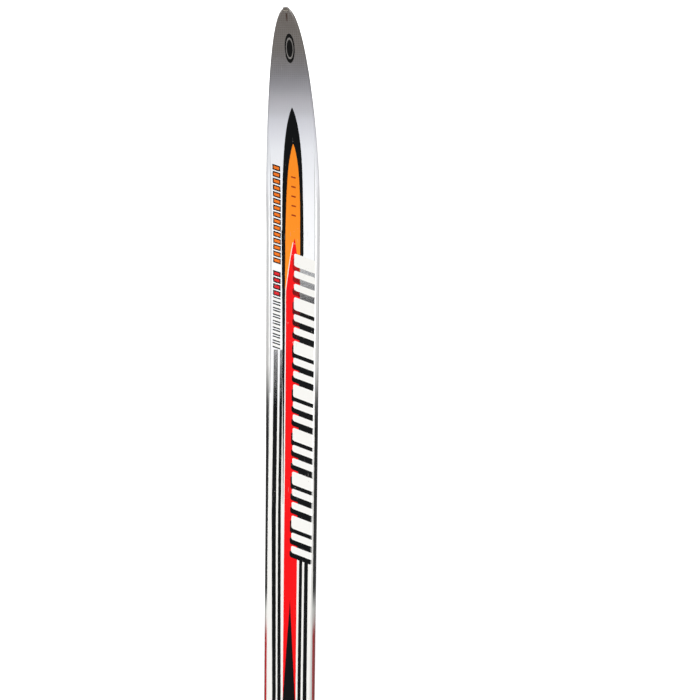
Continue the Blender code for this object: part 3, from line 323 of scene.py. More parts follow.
def scale_depth(x, y, half):
    """How deep the grip scales are cut at a point: each slopes down to a step, on a crescent's front."""
    if not GRIP_REAR < x < GRIP_FRONT:
        return 0.0
    inner = abs(y) - GROOVE_HALF - SCALE_MARGIN
    outer = half - SCALE_MARGIN - abs(y)
    if min(inner, outer) < 0:
        return 0.0
    along = (x + SCALE_BOW * math.cos(2 * math.pi * inner / SCALE_WIDTH) / 2) / SCALE_PITCH
    runout = ease(min(x - GRIP_REAR, GRIP_FRONT - x) / (2 * SCALE_PITCH))
    return SCALE_DEPTH * (1 - along % 1.0) * runout


def base_ring(x):
    low = bottom_z(x)
    high = low + BASE_THICKNESS
    half = half_width(x)
    run = min(FRONT_CONTACT - x, x - REAR_CONTACT)
    depth = GROOVE_DEPTH * ease(run / GROOVE_RUNOUT)
    groove = min(GROOVE_HALF, 0.4 * half)
    slope = min(GROOVE_SLOPE, 0.3 * groove)
    edge = min(BASE_EDGE, 0.1 * half)
    flat = [blend(half - edge, groove, k / 14) for k in range(15)]
    line = [(half, low + edge)] + [(y, low + scale_depth(x, y, half)) for y in flat]
    line += [(groove - slope, low + depth)]
    bottom = [(-y, z) for y, z in line] + line[::-1]
    return bottom + [(y, high) for y, z in reversed(bottom)]


def add_running_base():
    places = [x for x in stations(BODY_REAR, TIP_X, STATION_STEP) if not GRIP_REAR <= x <= GRIP_FRONT]
    fine = round((GRIP_FRONT - GRIP_REAR) / SCALE_STEP)
    places += [blend(GRIP_REAR, GRIP_FRONT, k / fine) for k in range(fine + 1)]
    return smooth(loft("grip_running_base", sorted(places), base_ring), 30)


running_base = add_running_base()

# Extruded polyethylene, ground flat: waxy and half dull, with fine grinding lines along the ski.
GRINDING_PITCH = 1.2                # mm; the real lines, 0.3 mm apart, are too fine to show

polyethylene, tree, shader = new_material("ground_black_polyethylene")
place = node(tree, "TexCoord")
stretch = node(tree, "Mapping", {"Vector": place.outputs["Object"], "Scale": (8, 1 / GRINDING_PITCH / MM, 8)})
lines = node(tree, "TexNoise", {"Vector": stretch, "Scale": 1.0, "Detail": 2.0})
clouds = node(tree, "TexNoise", {"Vector": place.outputs["Object"], "Scale": 30.0, "Detail": 3.0})
tint = node(tree, "ValToRGB", [clouds], stops=((0.3, "1b1c1e"), (0.7, "26282a")))
dull = node(tree, "MapRange", [lines, 0.3, 0.7, 0.34, 0.52])
relief = node(tree, "Bump", {"Height": lines, "Distance": 0.01 * MM, "Strength": 0.6})
plug(tree, shader, {"Base Color": tint, "Roughness": dull, "Normal": relief, "IOR": 1.51})
running_base.data.materials.append(polyethylene)
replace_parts(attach(running_base, "ski"), "running_base")


# ---- Printed cap: a moulded sheet of clear-coated film over glass cloth, that wraps the top and both sides.
# It is printed from behind before moulding: silver fading to white at the tip, a black spear with an orange
# and a red one inside it, slanted white bars, and long stripes back to the tail.

CAP_THICKNESS = 0.9 * MM
CAP_TOP_WIDTH = 39.4 * MM
CAP_LEAST_INSET = 2.0 * MM
NOSE_SOLID = 4 * MM                 # the cap is solid for this length behind the nose
SLOT_LENGTH = 1.5 * MM              # locating slot for the moulding jig, along and across
SLOT_WIDTH = 4.0 * MM
SLOT_DEPTH = 0.9 * MM
SLOT_SETBACK = 2.4 * MM


def cap_half_line(x, inset, points):
    """The cap's right half from foot to centre line, moved in by inset, with a rounded shoulder."""
    half = half_width(x)
    side = max(half - CAP_TOP_WIDTH / 2, min(CAP_LEAST_INSET, 0.5 * half))
    low = bottom_z(x) + BASE_THICKNESS + GAP
    height = top_z(x) - low - inset
    corners = [Vector((half - inset, low)), Vector((half - 0.15 * side - inset, low + 0.45 * height)),
               Vector((half - 0.60 * side - 0.80 * inset, low + 0.86 * height)),
               Vector((half - side - 0.60 * inset, low + height)), Vector((0, low + height))]
    line = [corners[0]]
    for before, corner, after in zip(corners, corners[1:], corners[2:]):
        reach = min(0.42 * (corner - before).length, 0.42 * (after - corner).length, 2.4 * MM)
        start = corner + (before - corner).normalized() * reach
        end = corner + (after - corner).normalized() * reach
        for k in range(points + 1):
            t = k / points
            line.append(start * (1 - t) ** 2 + corner * 2 * t * (1 - t) + end * t * t)
    flat = line[-1]
    line += [Vector((flat.x * (1 - k / 6), flat.y)) for k in range(1, 7)]
    return line


def whole(half_line):
    """Left foot to right foot, from the right half that ends on the centre line."""
    return [Vector((-p.x, p.y)) for p in half_line] + [p.copy() for p in reversed(half_line[:-1])]


def cap_ring(x):
    outside = whole(cap_half_line(x, 0.0, 3))
    inside = whole(cap_half_line(x, CAP_THICKNESS, 3))
    if x > TIP_X - NOSE_SOLID:
        inside = [Vector((p.x, outside[0].y)) for p in inside]
    return outside + inside[::-1]


def add_printed_cap():
    wall = TIP_X - NOSE_SOLID
    places = [x for x in stations(BODY_REAR, TIP_X, STATION_STEP) if abs(x - wall) > 0.3 * MM]
    cap = loft("printed_cap", sorted(places + [wall, wall + 0.02 * MM]), cap_ring)
    bm = bmesh.new()
    bmesh.ops.create_cone(bm, cap_ends=True, segments=32, radius1=0.5, radius2=0.5, depth=1)
    bmesh.ops.translate(bm, vec=(0, 0, 0.5), verts=bm.verts)
    bmesh.ops.scale(bm, vec=(SLOT_LENGTH, SLOT_WIDTH, 4 * SLOT_DEPTH), verts=bm.verts)
    bmesh.ops.translate(bm, vec=(0, 0, -SLOT_DEPTH), verts=bm.verts)
    cutter = add_object("slot_cutter", bm)
    slot_x = TIP_X - SLOT_SETBACK
    cutter.location = (slot_x, 0, top_z(slot_x))
    cutter.rotation_euler = (0, -math.atan(2 * TIP_RISE / TIP_RISE_LENGTH), 0)
    cut = cap.modifiers.new("slot", "BOOLEAN")
    cut.object = cutter
    cut.operation = "DIFFERENCE"
    cap.data = bpy.data.meshes.new_from_object(cap.evaluated_get(bpy.context.evaluated_depsgraph_get()))
    cap.modifiers.clear()
    into_slot = cutter.matrix_world.inverted()
    bpy.data.objects.remove(cutter)
    return smooth(cap, 40), into_slot


printed_cap, into_slot = add_printed_cap()

# Glossy clear-coated print. The glass cloth under the print shows as a faint net of threads. Every shape of
# the print is a band, a spear, a bar or a dash, given in millimetres from the tip and from the centre line.
THREAD_PITCH = 1.7                  # mm; the real cloth's 0.6 mm is too fine to show
SCREEN_PITCH = 1.1                  # mm; the halftone's real dots, 0.4 mm apart, are too fine to show
NEAR_BLACK = "090b0d"
RED = "f30f14"
ORANGE = "ff9023"
SKI_LENGTH = 1600.0                 # mm

print_on_cap, tree, shader = new_material("clear_coated_print_on_glass_cloth")
place = node(tree, "TexCoord")
axes = node(tree, "SeparateXYZ", [place.outputs["Object"]])
from_tip = node(tree, "Math", [axes.outputs["X"], -1 / MM, TIP_X / MM], operation="MULTIPLY_ADD")
across = node(tree, "Math", [axes.outputs["Y"], -1 / MM], operation="MULTIPLY")


def between(value, low, high):
    """1 where the value lies between two numbers, else 0."""
    return node(tree, "Math", [value, (low + high) / 2, (high - low) / 2], operation="COMPARE")


def printed(ground, ink, *masks):
    """An ink over what is printed already, where all the masks are 1."""
    where = masks[0]
    for mask in masks[1:]:
        where = node(tree, "Math", [where, mask], operation="MULTIPLY")
    colour = linear(ink) if isinstance(ink, str) else ink
    return node(tree, "Mix", {0: where, 6: ground, 7: colour}, data_type="RGBA").outputs[2]


def fade(start, end):
    """0 at start to 1 at end, both in mm from the tip."""
    return node(tree, "MapRange", [from_tip, start, end, 0.0, 1.0], interpolation_type="SMOOTHSTEP")


def ripple(value, pitch):
    """-1 to 1 and back, once in each pitch."""
    phase = node(tree, "Math", [value, 2 * math.pi / pitch], operation="MULTIPLY")
    return node(tree, "Math", [phase], operation="SINE")


def halftone(start, end):
    """Ink that sets in as dots at start and is solid by end, both in mm from the tip."""
    dots = node(tree, "Math", [ripple(from_tip, SCREEN_PITCH), ripple(across, SCREEN_PITCH)],
                operation="MULTIPLY")
    level = node(tree, "Math", [dots, 0.46, 0.5], operation="MULTIPLY_ADD")
    amount = node(tree, "MapRange", [from_tip, start, end, 0.0, 1.0])
    return node(tree, "Math", [amount, level], operation="GREATER_THAN")


def band(first, at_first, last, at_last):
    """A lengthwise band that runs from one pair of edges, at first, to another pair, at last."""
    centre = node(tree, "MapRange", [from_tip, first, last, sum(at_first) / 2, sum(at_last) / 2])
    halves = [(right - left) / 2 for left, right in (at_first, at_last)]
    half = node(tree, "MapRange", [from_tip, first, last, *halves])
    return node(tree, "Math", [across, centre, half], operation="COMPARE")


SPEAR_BLUNTNESS = 0.86              # 1 is sharp


def spear(tip, half, reach, centre_at_tip, centre, drift):
    """A rounded spear: its half width nears half over the reach, and its centre moves over the drift."""
    behind = node(tree, "Math", [from_tip, -1 / reach, tip / reach], operation="MULTIPLY_ADD")
    missing = node(tree, "Math", [behind], operation="EXPONENT")
    reached = node(tree, "Math", [1.0, missing], operation="SUBTRACT")
    full = node(tree, "Math", [reached, SPEAR_BLUNTNESS], operation="POWER")
    width = node(tree, "Math", [full, half], operation="MULTIPLY")
    middle = node(tree, "MapRange", [from_tip, tip, tip + drift, centre_at_tip, centre])
    return node(tree, "Math", [across, middle, width], operation="COMPARE")


# The ground: silver at the tip turns to white, and the same at the tail. The darkness of the tip's silver is
# partly print and partly painted shade of the raised tip, which faces away from the front light.
length = node(tree, "Math", [from_tip, SKI_LENGTH], operation="DIVIDE")
ground = node(tree, "ValToRGB", [length], stops=(
    (0.0, "736c66"), (0.0190, "76716d"), (0.0300, "807e81"), (0.0345, "8f8e93"), (0.0400, "a3a2a8"),
    (0.0450, "b9b8be"), (0.0500, "c3c3c9"), (0.0545, "d4d5dc"), (0.0600, "dfe0e7"), (0.0700, "eef0f5"),
    (0.10, "f7f8fb"), (0.19, "f7f8fa"), (0.23, "f0efeb"), (0.90, "f0efeb"), (0.94, "d0d0d4"),
    (0.985, "77757a"),
)).outputs[0]

# The glass cloth's threads show through the silver on the top, and fade where the white ink is thick.
net = node(tree, "Math", [ripple(from_tip, THREAD_PITCH), ripple(across, THREAD_PITCH)], operation="MAXIMUM")
patchy = node(tree, "TexNoise", {"Vector": place.outputs["Object"], "Scale": 90.0, "Detail": 3.0})
normal = node(tree, "SeparateXYZ", [node(tree, "NewGeometry").outputs["True Normal"]])
on_top = node(tree, "MapRange", [normal.outputs["Z"], 0.6, 0.8, 0.0, 1.0])
net = node(tree, "Math", [net, on_top], operation="MULTIPLY")
threads = node(tree, "Math", [net, patchy], operation="MULTIPLY")
cloth_shows = node(tree, "MapRange", [from_tip, 60, 220, 0.12, 0.05])
ground = printed(ground, "f7f8fb", threads, cloth_shows)

# The sloped sides: light, then black beside the bars, white again, and red towards the middle.
sides = node(tree, "ValToRGB", [length], stops=(
    (0.07, "e4e5e8"), (0.19, "d8d8d6"), (0.212, "4a4a4a"), (0.225, "101214"), (0.318, "121416"),
    (0.328, "dededa"), (0.334, "e2d8d4"), (0.342, "b81a22"), (0.80, "b81a22"), (0.82, "dededa"),
    (0.84, "121416"), (0.92, "121416"), (0.95, "77757a"),
))
middle = band(440, (-19.6, 21.4), 600, (-18.8, 21.6))
outside_middle = node(tree, "Math", [1.0, middle], operation="SUBTRACT")
ground = printed(ground, sides.outputs[0], outside_middle, fade(135, 160))
# Painted shade: a thin grey line along each shoulder's bevel edge, behind the tip.
for left, right in ((-19.6, -18.9), (20.0, 20.6)):
    ground = printed(ground, "b9b9ba", between(across, left, right), fade(100, 150),
                     between(from_tip, 100, 330))

# The long stripes on both sides set in as halftone beside the bars and run back to the tail.
for at_first, at_last in (((-16.3, -12.4), (-13.7, -10.4)), ((-10.6, -8.0), (-9.1, -6.0)),
                          ((9.2, 12.0), (9.0, 11.9)), ((13.8, 17.2), (13.7, 17.2))):
    ground = printed(ground, NEAR_BLACK, band(440, at_first, 600, at_last), halftone(195, 350),
                     between(from_tip, 291, 1500),
                     node(tree, "MapRange", [from_tip, 1400, 1480, 1.0, 0.0]))

# The black spear, and its left border that runs on and narrows beside the red.
ground = printed(ground, NEAR_BLACK, spear(77, 9.9, 27, 1.6, 0.3, 75), between(from_tip, 77, 205))
ground = printed(ground, NEAR_BLACK, band(183, (-10.0, -6.4), 430, (-6.3, -6.0)), between(from_tip, 183, 430))
ground = printed(ground, NEAR_BLACK, between(across, 6.9, 20.3), halftone(190, 262),
                 between(from_tip, 214, 474))
ground = printed(ground, NEAR_BLACK, between(across, 6.7, 9.9), between(from_tip, 190, 212))

# The orange spear, with a row of small dark dashes down its middle.
ground = printed(ground, ORANGE, spear(107.5, 6.8, 23, 1.7, 0.3, 75), between(from_tip, 107.5, 236))
dash_row = node(tree, "Math", [across, -0.25, from_tip], operation="MULTIPLY_ADD")
dash_cell = node(tree, "Math", [dash_row, 8.4, 0.0], operation="WRAP")
ground = printed(ground, "9c2a12", between(dash_cell, 1.0, 2.3), between(across, -0.8, 3.2),
                 between(from_tip, 131, 176))

# The red band opens as a spear inside the orange, with a thin white line along its left edge, and runs on.
opening = node(tree, "MapRange", [from_tip, 190.5, 238, 0.0, 1.0])
left_edge = node(tree, "Math", [node(tree, "Math", [opening, 0.75], operation="POWER"), -7.7, 2.1],
                 operation="MULTIPLY_ADD")
right_edge = node(tree, "MapRange", [from_tip, 190.5, 222, 2.1, 6.9])
inside_left = node(tree, "Math", [across, left_edge], operation="GREATER_THAN")
inside_line = node(tree, "Math", [across, node(tree, "Math", [left_edge, -0.75], operation="ADD")],
                   operation="GREATER_THAN")
inside_right = node(tree, "Math", [across, right_edge], operation="LESS_THAN")
ground = printed(ground, "f2e9dd", inside_line, inside_right, between(from_tip, 194, 250))
ground = printed(ground, RED, inside_left, inside_right, between(from_tip, 190.5, 240))
ground = printed(ground, RED, band(240, (-5.6, 6.9), 600, (-4.2, 7.4)), between(from_tip, 240, 1420))

# A slim black spear grows inside the red until it fills it at the middle, and draws in again behind the heel.
INK_RIGHT = 1.35                    # mm right of the centre line
INK_HALF = 5.95                     # mm, half the spear's width where it fills the red
for first, last, grown, at_first, at_last in ((515, 1130, 612, 0.0, INK_HALF),
                                              (1130, 1227, 1227, INK_HALF, 0.0)):
    ink_half = node(tree, "MapRange", [from_tip, first, grown, at_first, at_last])
    ink_spear = node(tree, "Math", [across, INK_RIGHT, ink_half], operation="COMPARE")
    ground = printed(ground, NEAR_BLACK, ink_spear, between(from_tip, first, last))

# The left column of slanted dashes: orange and red ones with a dark outline, then pairs of dark strokes.
DASH_PITCH = 5.9                    # mm along the ski, counted from the tip
COLUMN_LEFT = -17.4                 # mm from the centre line
COLUMN_RIGHT = -10.5
column_row = node(tree, "Math", [across, -0.32, from_tip], operation="MULTIPLY_ADD")
column_cell = node(tree, "Math", [column_row, DASH_PITCH, 0.0], operation="WRAP")
for first, last, outline, ink, inset in ((22, 37, "241a16", "f57a24", 1.0), (38, 42, "202224", "e0262e", 1.2),
                                         (42, 50, "202224", "f4f4f2", 0.0)):
    column_part = between(column_row, first * DASH_PITCH, last * DASH_PITCH)
    ground = printed(ground, outline, between(column_cell, 0.3, 5.1),
                     between(across, COLUMN_LEFT, COLUMN_RIGHT), column_part)
    ground = printed(ground, ink, between(column_cell, 1.5, 3.9),
                     between(across, COLUMN_LEFT + inset, COLUMN_RIGHT - inset), column_part)

# The row of slanted white bars with rounded corners, and the black shadow below and to the left of them.
BAR_START = 207.0                   # mm from the tip, on the bars' centre line
BAR_GROUPS = 7
BAR_PITCH = 39.3                    # mm along the ski, from one wide bar to the next
BAR_SLANT = 0.36                    # mm along for each mm across
BAR_REACH = 9.9                     # mm, half the bars' width across
BAR_CENTRE = 11.6                   # mm right of the centre line
BAR_CORNER = 1.8                    # mm


def bars(shift_along, shift_across):
    """Where the row of bars lies, moved along and across: a wide bar and two slim ones in turn."""
    side = node(tree, "Math", [across, -shift_across - BAR_CENTRE], operation="ADD")
    row = node(tree, "Math", [side, -BAR_SLANT, from_tip], operation="MULTIPLY_ADD")
    row = node(tree, "Math", [row, BAR_START + shift_along], operation="SUBTRACT")
    cell = node(tree, "Math", [row, BAR_PITCH, 0.0], operation="WRAP")
    covered = node(tree, "Math", [node(tree, "Math", [side], operation="ABSOLUTE"), BAR_REACH - BAR_CORNER],
                   operation="SUBTRACT")
    beyond = node(tree, "Math", [covered, 0.0], operation="MAXIMUM")
    beyond = node(tree, "Math", [beyond, beyond], operation="MULTIPLY")
    shape = None
    for centre, half in ((6.2, 5.8), (18.8, 3.1), (30.6, 3.1)):
        offset = node(tree, "Math", [cell, centre], operation="SUBTRACT")
        offset = node(tree, "Math", [offset], operation="ABSOLUTE")
        offset = node(tree, "Math", [offset, half - BAR_CORNER], operation="SUBTRACT")
        offset = node(tree, "Math", [offset, 0.0], operation="MAXIMUM")
        away = node(tree, "Math", [offset, offset, beyond], operation="MULTIPLY_ADD")
        inside = node(tree, "Math", [away, BAR_CORNER ** 2], operation="LESS_THAN")
        shape = inside if shape is None else node(tree, "Math", [shape, inside], operation="MAXIMUM")
    return node(tree, "Math", [shape, between(row, 0.0, BAR_GROUPS * BAR_PITCH)], operation="MULTIPLY")


ground = printed(ground, NEAR_BLACK, bars(4.0, -1.3), halftone(140, 290))
ground = printed(ground, "f2f1ed", bars(0.0, 0.0))

# A generic mark at the tip: an oval with a lighter ring in it.
MARK_PLACE = 30.6                   # mm from the tip
MARK_RIGHT = 1.7                    # mm right of the centre line
MARK_LENGTH = 11.2                  # mm, half the oval's length
MARK_WIDTH = 4.3                    # mm, half its width
mark_along = node(tree, "Math", [from_tip, 1 / MARK_LENGTH, -MARK_PLACE / MARK_LENGTH],
                  operation="MULTIPLY_ADD")
mark_across = node(tree, "Math", [across, 1 / MARK_WIDTH, -MARK_RIGHT / MARK_WIDTH],
                   operation="MULTIPLY_ADD")
mark_square = node(tree, "Math", [mark_along, mark_along], operation="MULTIPLY")
from_mark = node(tree, "Math", [mark_across, mark_across, mark_square], operation="MULTIPLY_ADD")
ground = printed(ground, "141414", node(tree, "Math", [from_mark, 1.0], operation="LESS_THAN"))
ground = printed(ground, "8b8885", between(from_mark, 0.36, 0.54))

# Wear: small pale nicks, fine scratches along the ski, and a brown rub on the nose.
nick_place = node(tree, "Mapping", {"Vector": place.outputs["Object"], "Scale": (170, 260, 170)})
nicks = node(tree, "TexVoronoi", {"Vector": nick_place, "Scale": 1.0})
worn = node(tree, "TexNoise", {"Vector": place.outputs["Object"], "Scale": 22.0, "Detail": 2.0})
where_worn = node(tree, "MapRange", [worn, 0.48, 0.62, 0.0, 0.75])
nicked = node(tree, "Math", [nicks.outputs["Distance"], 0.085], operation="LESS_THAN")
ground = printed(ground, "c9c4bd", nicked, where_worn, fade(80, 110))
scratch_place = node(tree, "Mapping", {"Vector": place.outputs["Object"], "Scale": (38, 900, 38),
                                       "Rotation": (0, 0, math.radians(1.5))})
scratches = node(tree, "TexVoronoi", {"Vector": scratch_place, "Scale": 1.0})
scratched = node(tree, "Math", [scratches.outputs["Distance"], 0.10], operation="LESS_THAN")
scratched = node(tree, "Math", [scratched, on_top], operation="MULTIPLY")
ground = printed(ground, "a9a6a4", scratched, where_worn)
rub_place = node(tree, "MapRange", [from_tip, 7, 13, 1.0, 0.0])
ground = printed(ground, "4e3f38", between(across, -0.2, 1.2), between(from_tip, 4.5, 10.5), rub_place)

gloss = node(tree, "MapRange", [worn, 0.3, 0.7, 0.19, 0.28])
weave_height = node(tree, "Math", [net, scratched], operation="SUBTRACT")
relief = node(tree, "Bump", {"Height": weave_height, "Distance": 0.003 * MM, "Strength": 0.5})
plug(tree, shader, {"Base Color": ground, "Roughness": gloss, "IOR": 1.5, "Coat Weight": 0.25,
                    "Coat Roughness": 0.08, "Normal": relief})
printed_cap.data.materials.clear()
printed_cap.data.materials.append(print_on_cap)

# The cap's own plastic, pale and unprinted, shows on the walls and the bottom of the slot.
bare_plastic, tree, shader = new_material("bare_cap_plastic")
place = node(tree, "TexCoord")
grain = node(tree, "TexNoise", {"Vector": place.outputs["Object"], "Scale": 1500.0, "Detail": 2.0})
tint = node(tree, "ValToRGB", [grain], stops=((0.3, "b5b0a6"), (0.7, "cdc8be")))
plug(tree, shader, {"Base Color": tint, "Roughness": 0.5, "IOR": 1.52})
printed_cap.data.materials.append(bare_plastic)
for face in printed_cap.data.polygons:
    seen_from_slot = into_slot @ face.center
    inside_walls = abs(seen_from_slot.x) < 0.51 * SLOT_LENGTH and abs(seen_from_slot.y) < 0.51 * SLOT_WIDTH
    if inside_walls and -1.01 * SLOT_DEPTH < seen_from_slot.z < -0.02 * SLOT_DEPTH:
        face.material_index = 1
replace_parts(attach(printed_cap, "ski"), "topsheet_cap")


# ---- Glass laminates: two sheets of glass cloth in epoxy, one on the base and one under the cap.
# They carry the ski's bending; only their edges show, as a thin honey-green line along both sides.

CLOTH_THREAD = 1.2                  # mm; the real threads, 0.5 mm apart, are too fine to show


def keep_frame_piece(name, material, edge=0.0):
    """Give a frame piece its finish and, where it shows, the small edge radius of its mould, in mm."""
    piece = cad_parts[name]
    for material_slot in piece.material_slots:
        material_slot.material = material
    if edge:
        weld = piece.modifiers.new("weld", "WELD")
        weld.merge_threshold = 0.01 * MM
        flats = piece.modifiers.new("flats", "DECIMATE")
        flats.decimate_type = "DISSOLVE"
        flats.angle_limit = math.radians(0.5)
        radius = piece.modifiers.new("edge_radius", "BEVEL")
        radius.width = edge * MM
        radius.segments = 2
        radius.limit_method = "ANGLE"
        radius.angle_limit = math.radians(32)
        shading = piece.modifiers.new("shading", "WEIGHTED_NORMAL")
        shading.keep_sharp = True


# Cloth in clear epoxy: glossy under the resin, with crossed threads a little lighter than the rest.
laminate, tree, shader = new_material("glass_cloth_in_epoxy")
place = node(tree, "TexCoord")
axes = node(tree, "SeparateXYZ", [place.outputs["Object"]])
weave = node(tree, "Math", [ripple(axes.outputs["X"], CLOTH_THREAD * MM),
                            ripple(axes.outputs["Y"], CLOTH_THREAD * MM)], operation="MAXIMUM")
tint = node(tree, "ValToRGB", [node(tree, "MapRange", [weave, -1, 1, 0, 1])],
            stops=((0.0, "7f8154"), (1.0, "b4b489")))
relief = node(tree, "Bump", {"Height": weave, "Distance": 0.02 * MM, "Strength": 0.5})
plug(tree, shader, {"Base Color": tint, "Normal": relief, "Roughness": 0.35, "IOR": 1.53})
for name in ("lower_laminate", "upper_laminate"):
    keep_frame_piece(name, laminate)


# ---- Wood core: strips of poplar glued side by side and planed to the ski's thickness.
# It lies under the foot between the two laminates, and the binding's screws bite into it.

STRIP_WIDTH = 11.0                  # mm
RING_PITCH = 2.5                    # mm between the grain's growth lines

poplar, tree, shader = new_material("planed_poplar")
place = node(tree, "TexCoord")
axes = node(tree, "SeparateXYZ", [place.outputs["Object"]])
strip = node(tree, "Math", [axes.outputs["Y"], 1 / STRIP_WIDTH / MM], operation="MULTIPLY")
strip = node(tree, "Math", [strip], operation="FLOOR")
shade = node(tree, "TexWhiteNoise", {"W": strip}, noise_dimensions="1D")
stretch = node(tree, "Mapping", {"Vector": place.outputs["Object"], "Scale": (12, 1 / RING_PITCH / MM, 300)})
grain = node(tree, "TexNoise", {"Vector": stretch, "Scale": 1.0, "Detail": 4.0, "Distortion": 0.6})
mixed = node(tree, "Math", [shade.outputs["Value"], 0.25, grain], operation="MULTIPLY_ADD")
tint = node(tree, "ValToRGB", [mixed], stops=((0.25, "b79a68"), (0.5, "d9bf90"), (0.85, "ead7b0")))
relief = node(tree, "Bump", {"Height": grain, "Distance": 0.03 * MM, "Strength": 0.5})
plug(tree, shader, {"Base Color": tint, "Normal": relief, "Roughness": 0.6})
keep_frame_piece("core", poplar)


# ---- Tip spacer and tail spacer: injection-moulded ABS, glued in where the ski gets too thin for the wood.
# They lie between the two laminates and take over the core's shape towards both ends.

def moulded_plastic(name, dark, light, roughness, grain, depth, ior=1.53):
    """A moulded plastic's finish: faint clouding of the colour, and the mould's spark-eroded grain, in mm."""
    material, tree, shader = new_material(name)
    place = node(tree, "TexCoord")
    clouds = node(tree, "TexNoise", {"Vector": place.outputs["Object"], "Scale": 120.0, "Detail": 4.0})
    tint = node(tree, "ValToRGB", [clouds], stops=((0.35, dark), (0.65, light)))
    pits = node(tree, "TexNoise", {"Vector": place.outputs["Object"], "Scale": 1 / grain / MM, "Detail": 3.0})
    dull = node(tree, "MapRange", [pits, 0.3, 0.7, roughness - 0.07, roughness + 0.07])
    relief = node(tree, "Bump", {"Height": pits, "Distance": depth * MM, "Strength": 0.7})
    plug(tree, shader, {"Base Color": tint, "Roughness": dull, "Normal": relief, "IOR": ior})
    return material


# Natural ABS is a warm ivory with a dull sheen; black ABS has a slight texture and is half matt.
natural_abs = moulded_plastic("natural_abs", "d8cfb8", "e6dec9", 0.45, 0.8, 0.01)
black_abs = moulded_plastic("black_abs", "121314", "1d1e20", 0.42, 0.6, 0.02)
keep_frame_piece("tip_spacer", natural_abs)
keep_frame_piece("tail_spacer", black_abs)


# ---- Tail protector: a block of black ABS, glued on behind the base, the laminates and the cap.
# It takes the knocks when the ski stands on its tail, so its two corners and all its edges are well rounded.

TAIL_CORNER = 9 * MM                # radius of the two corners, seen from above
PROTECTOR_EDGE = 1.2 * MM           # radius of its rear and lower edges
PROTECTOR_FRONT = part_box("tail_protector")[1].x


def rounding(distance, radius):
    """How far a rounded edge draws a surface in, at a distance from the end where the rounding starts."""
    missing = max(radius - distance, 0.0)
    return radius - math.sqrt(max(radius ** 2 - missing ** 2, 0.0))


def protector_ring(x):
    """The cap's outline, closed below, and drawn in from all sides towards the rear edge."""
    drawn_in = rounding(x - TAIL_X, PROTECTOR_EDGE)
    half = half_width(x)
    low = bottom_z(x)
    reach = (top_z(x) - low) / 2
    narrower = 1 - (rounding(x - TAIL_X, TAIL_CORNER) + drawn_in) / half
    thinner = 1 - drawn_in / reach
    top = [(p.x, p.y) for p in whole(cap_half_line(x, 0.0, 3))]
    bottom = [(y, low + rounding(half - abs(y), PROTECTOR_EDGE)) for y, z in top]
    return [(y * narrower, blend(low + reach, z, thinner)) for y, z in top + bottom[::-1]]


# The stations lie close together where the edge and the corners curve.
places = {PROTECTOR_FRONT}
for radius in (PROTECTOR_EDGE, TAIL_CORNER):
    for k in range(13):
        places.add(TAIL_X + radius * (1 - math.cos(math.pi / 2 * k / 12)))
tail_protector = smooth(loft("rounded_tail_protector", sorted(places), protector_ring), 50)
tail_protector.data.materials.append(black_abs)
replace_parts(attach(tail_protector, "ski"), "tail_protector")


# ---- Reinforcement plates: glass-filled sheet let into the core's top, under the binding and the heel plate.
# The binding's screws pass through them, which keeps the threads from pulling out of the wood.

PLATE_FIBRE = 2.0                   # mm; chopped strands about 12 mm long, drawn as short flecks

pressed_sheet, tree, shader = new_material("pressed_glass_mat_sheet")
place = node(tree, "TexCoord")
flecks = node(tree, "TexVoronoi", {"Vector": place.outputs["Object"], "Scale": 1 / PLATE_FIBRE / MM})
clouds = node(tree, "TexNoise", {"Vector": flecks.outputs["Position"], "Scale": 900.0, "Detail": 2.0})
tint = node(tree, "ValToRGB", [clouds], stops=((0.3, "5f5a32"), (0.7, "938a58")))
relief = node(tree, "Bump", {"Height": clouds, "Distance": 0.02 * MM, "Strength": 0.5})
plug(tree, shader, {"Base Color": tint, "Normal": relief, "Roughness": 0.48})
for name in ("toe_reinforcement", "heel_reinforcement"):
    keep_frame_piece(name, pressed_sheet)


# ---- Toe housing and base plate: moulded in black glass-filled nylon, screwed down through three flanges.
# The cheeks stand either side of the boot's bar, and the ears in front hold the lever's pin.

# Glass-filled nylon: deep grey-black and half matt, with the mould's fine leather-like grain.
black_nylon = moulded_plastic("black_glass_filled_nylon", "141516", "202224", 0.46, 0.55, 0.025)
keep_frame_piece("toe_base_plate", black_nylon, 0.15)
keep_frame_piece("toe_housing", black_nylon, 0.45)


# ---- Bar seat and jaw hook: blanked and bent from zinc-plated spring steel strip.
# The boot's bar lies on the seat, and the hook on the slider closes over it.

ROLLING_PITCH = 0.5                 # mm; the strip's rolling lines, drawn coarser than they are


def plated_steel(name, dark, light, roughness, stretch_axis):
    """Plated or bright steel, slightly blue, with drawn or rolled lines along an axis, 0 for X to 2 for Z."""
    material, tree, shader = new_material(name)
    place = node(tree, "TexCoord")
    scale = [1 / ROLLING_PITCH / MM] * 3
    scale[stretch_axis] = 60.0
    drawn = node(tree, "Mapping", {"Vector": place.outputs["Object"], "Scale": scale})
    lines = node(tree, "TexNoise", {"Vector": drawn, "Scale": 1.0, "Detail": 3.0})
    spots = node(tree, "TexNoise", {"Vector": place.outputs["Object"], "Scale": 700.0, "Detail": 3.0})
    tint = node(tree, "ValToRGB", [spots], stops=((0.35, dark), (0.65, light)))
    dull = node(tree, "MapRange", [lines, 0.3, 0.7, roughness - 0.08, roughness + 0.10])
    relief = node(tree, "Bump", {"Height": lines, "Distance": 0.006 * MM, "Strength": 0.6})
    plug(tree, shader, {"Base Color": tint, "Roughness": dull, "Normal": relief, "Metallic": 1.0})
    return material


strip_steel = plated_steel("zinc_plated_steel_strip", "aeb2b6", "d0d3d6", 0.28, 0)
keep_frame_piece("bar_seat", strip_steel, 0.2)
keep_frame_piece("jaw_hook", strip_steel, 0.2)


# ---- Jaw slider: moulded in orange-red acetal, which slides on the nylon base plate without grease.
# Its tongue has a pocket for the lever's arm and two pegs for the springs.

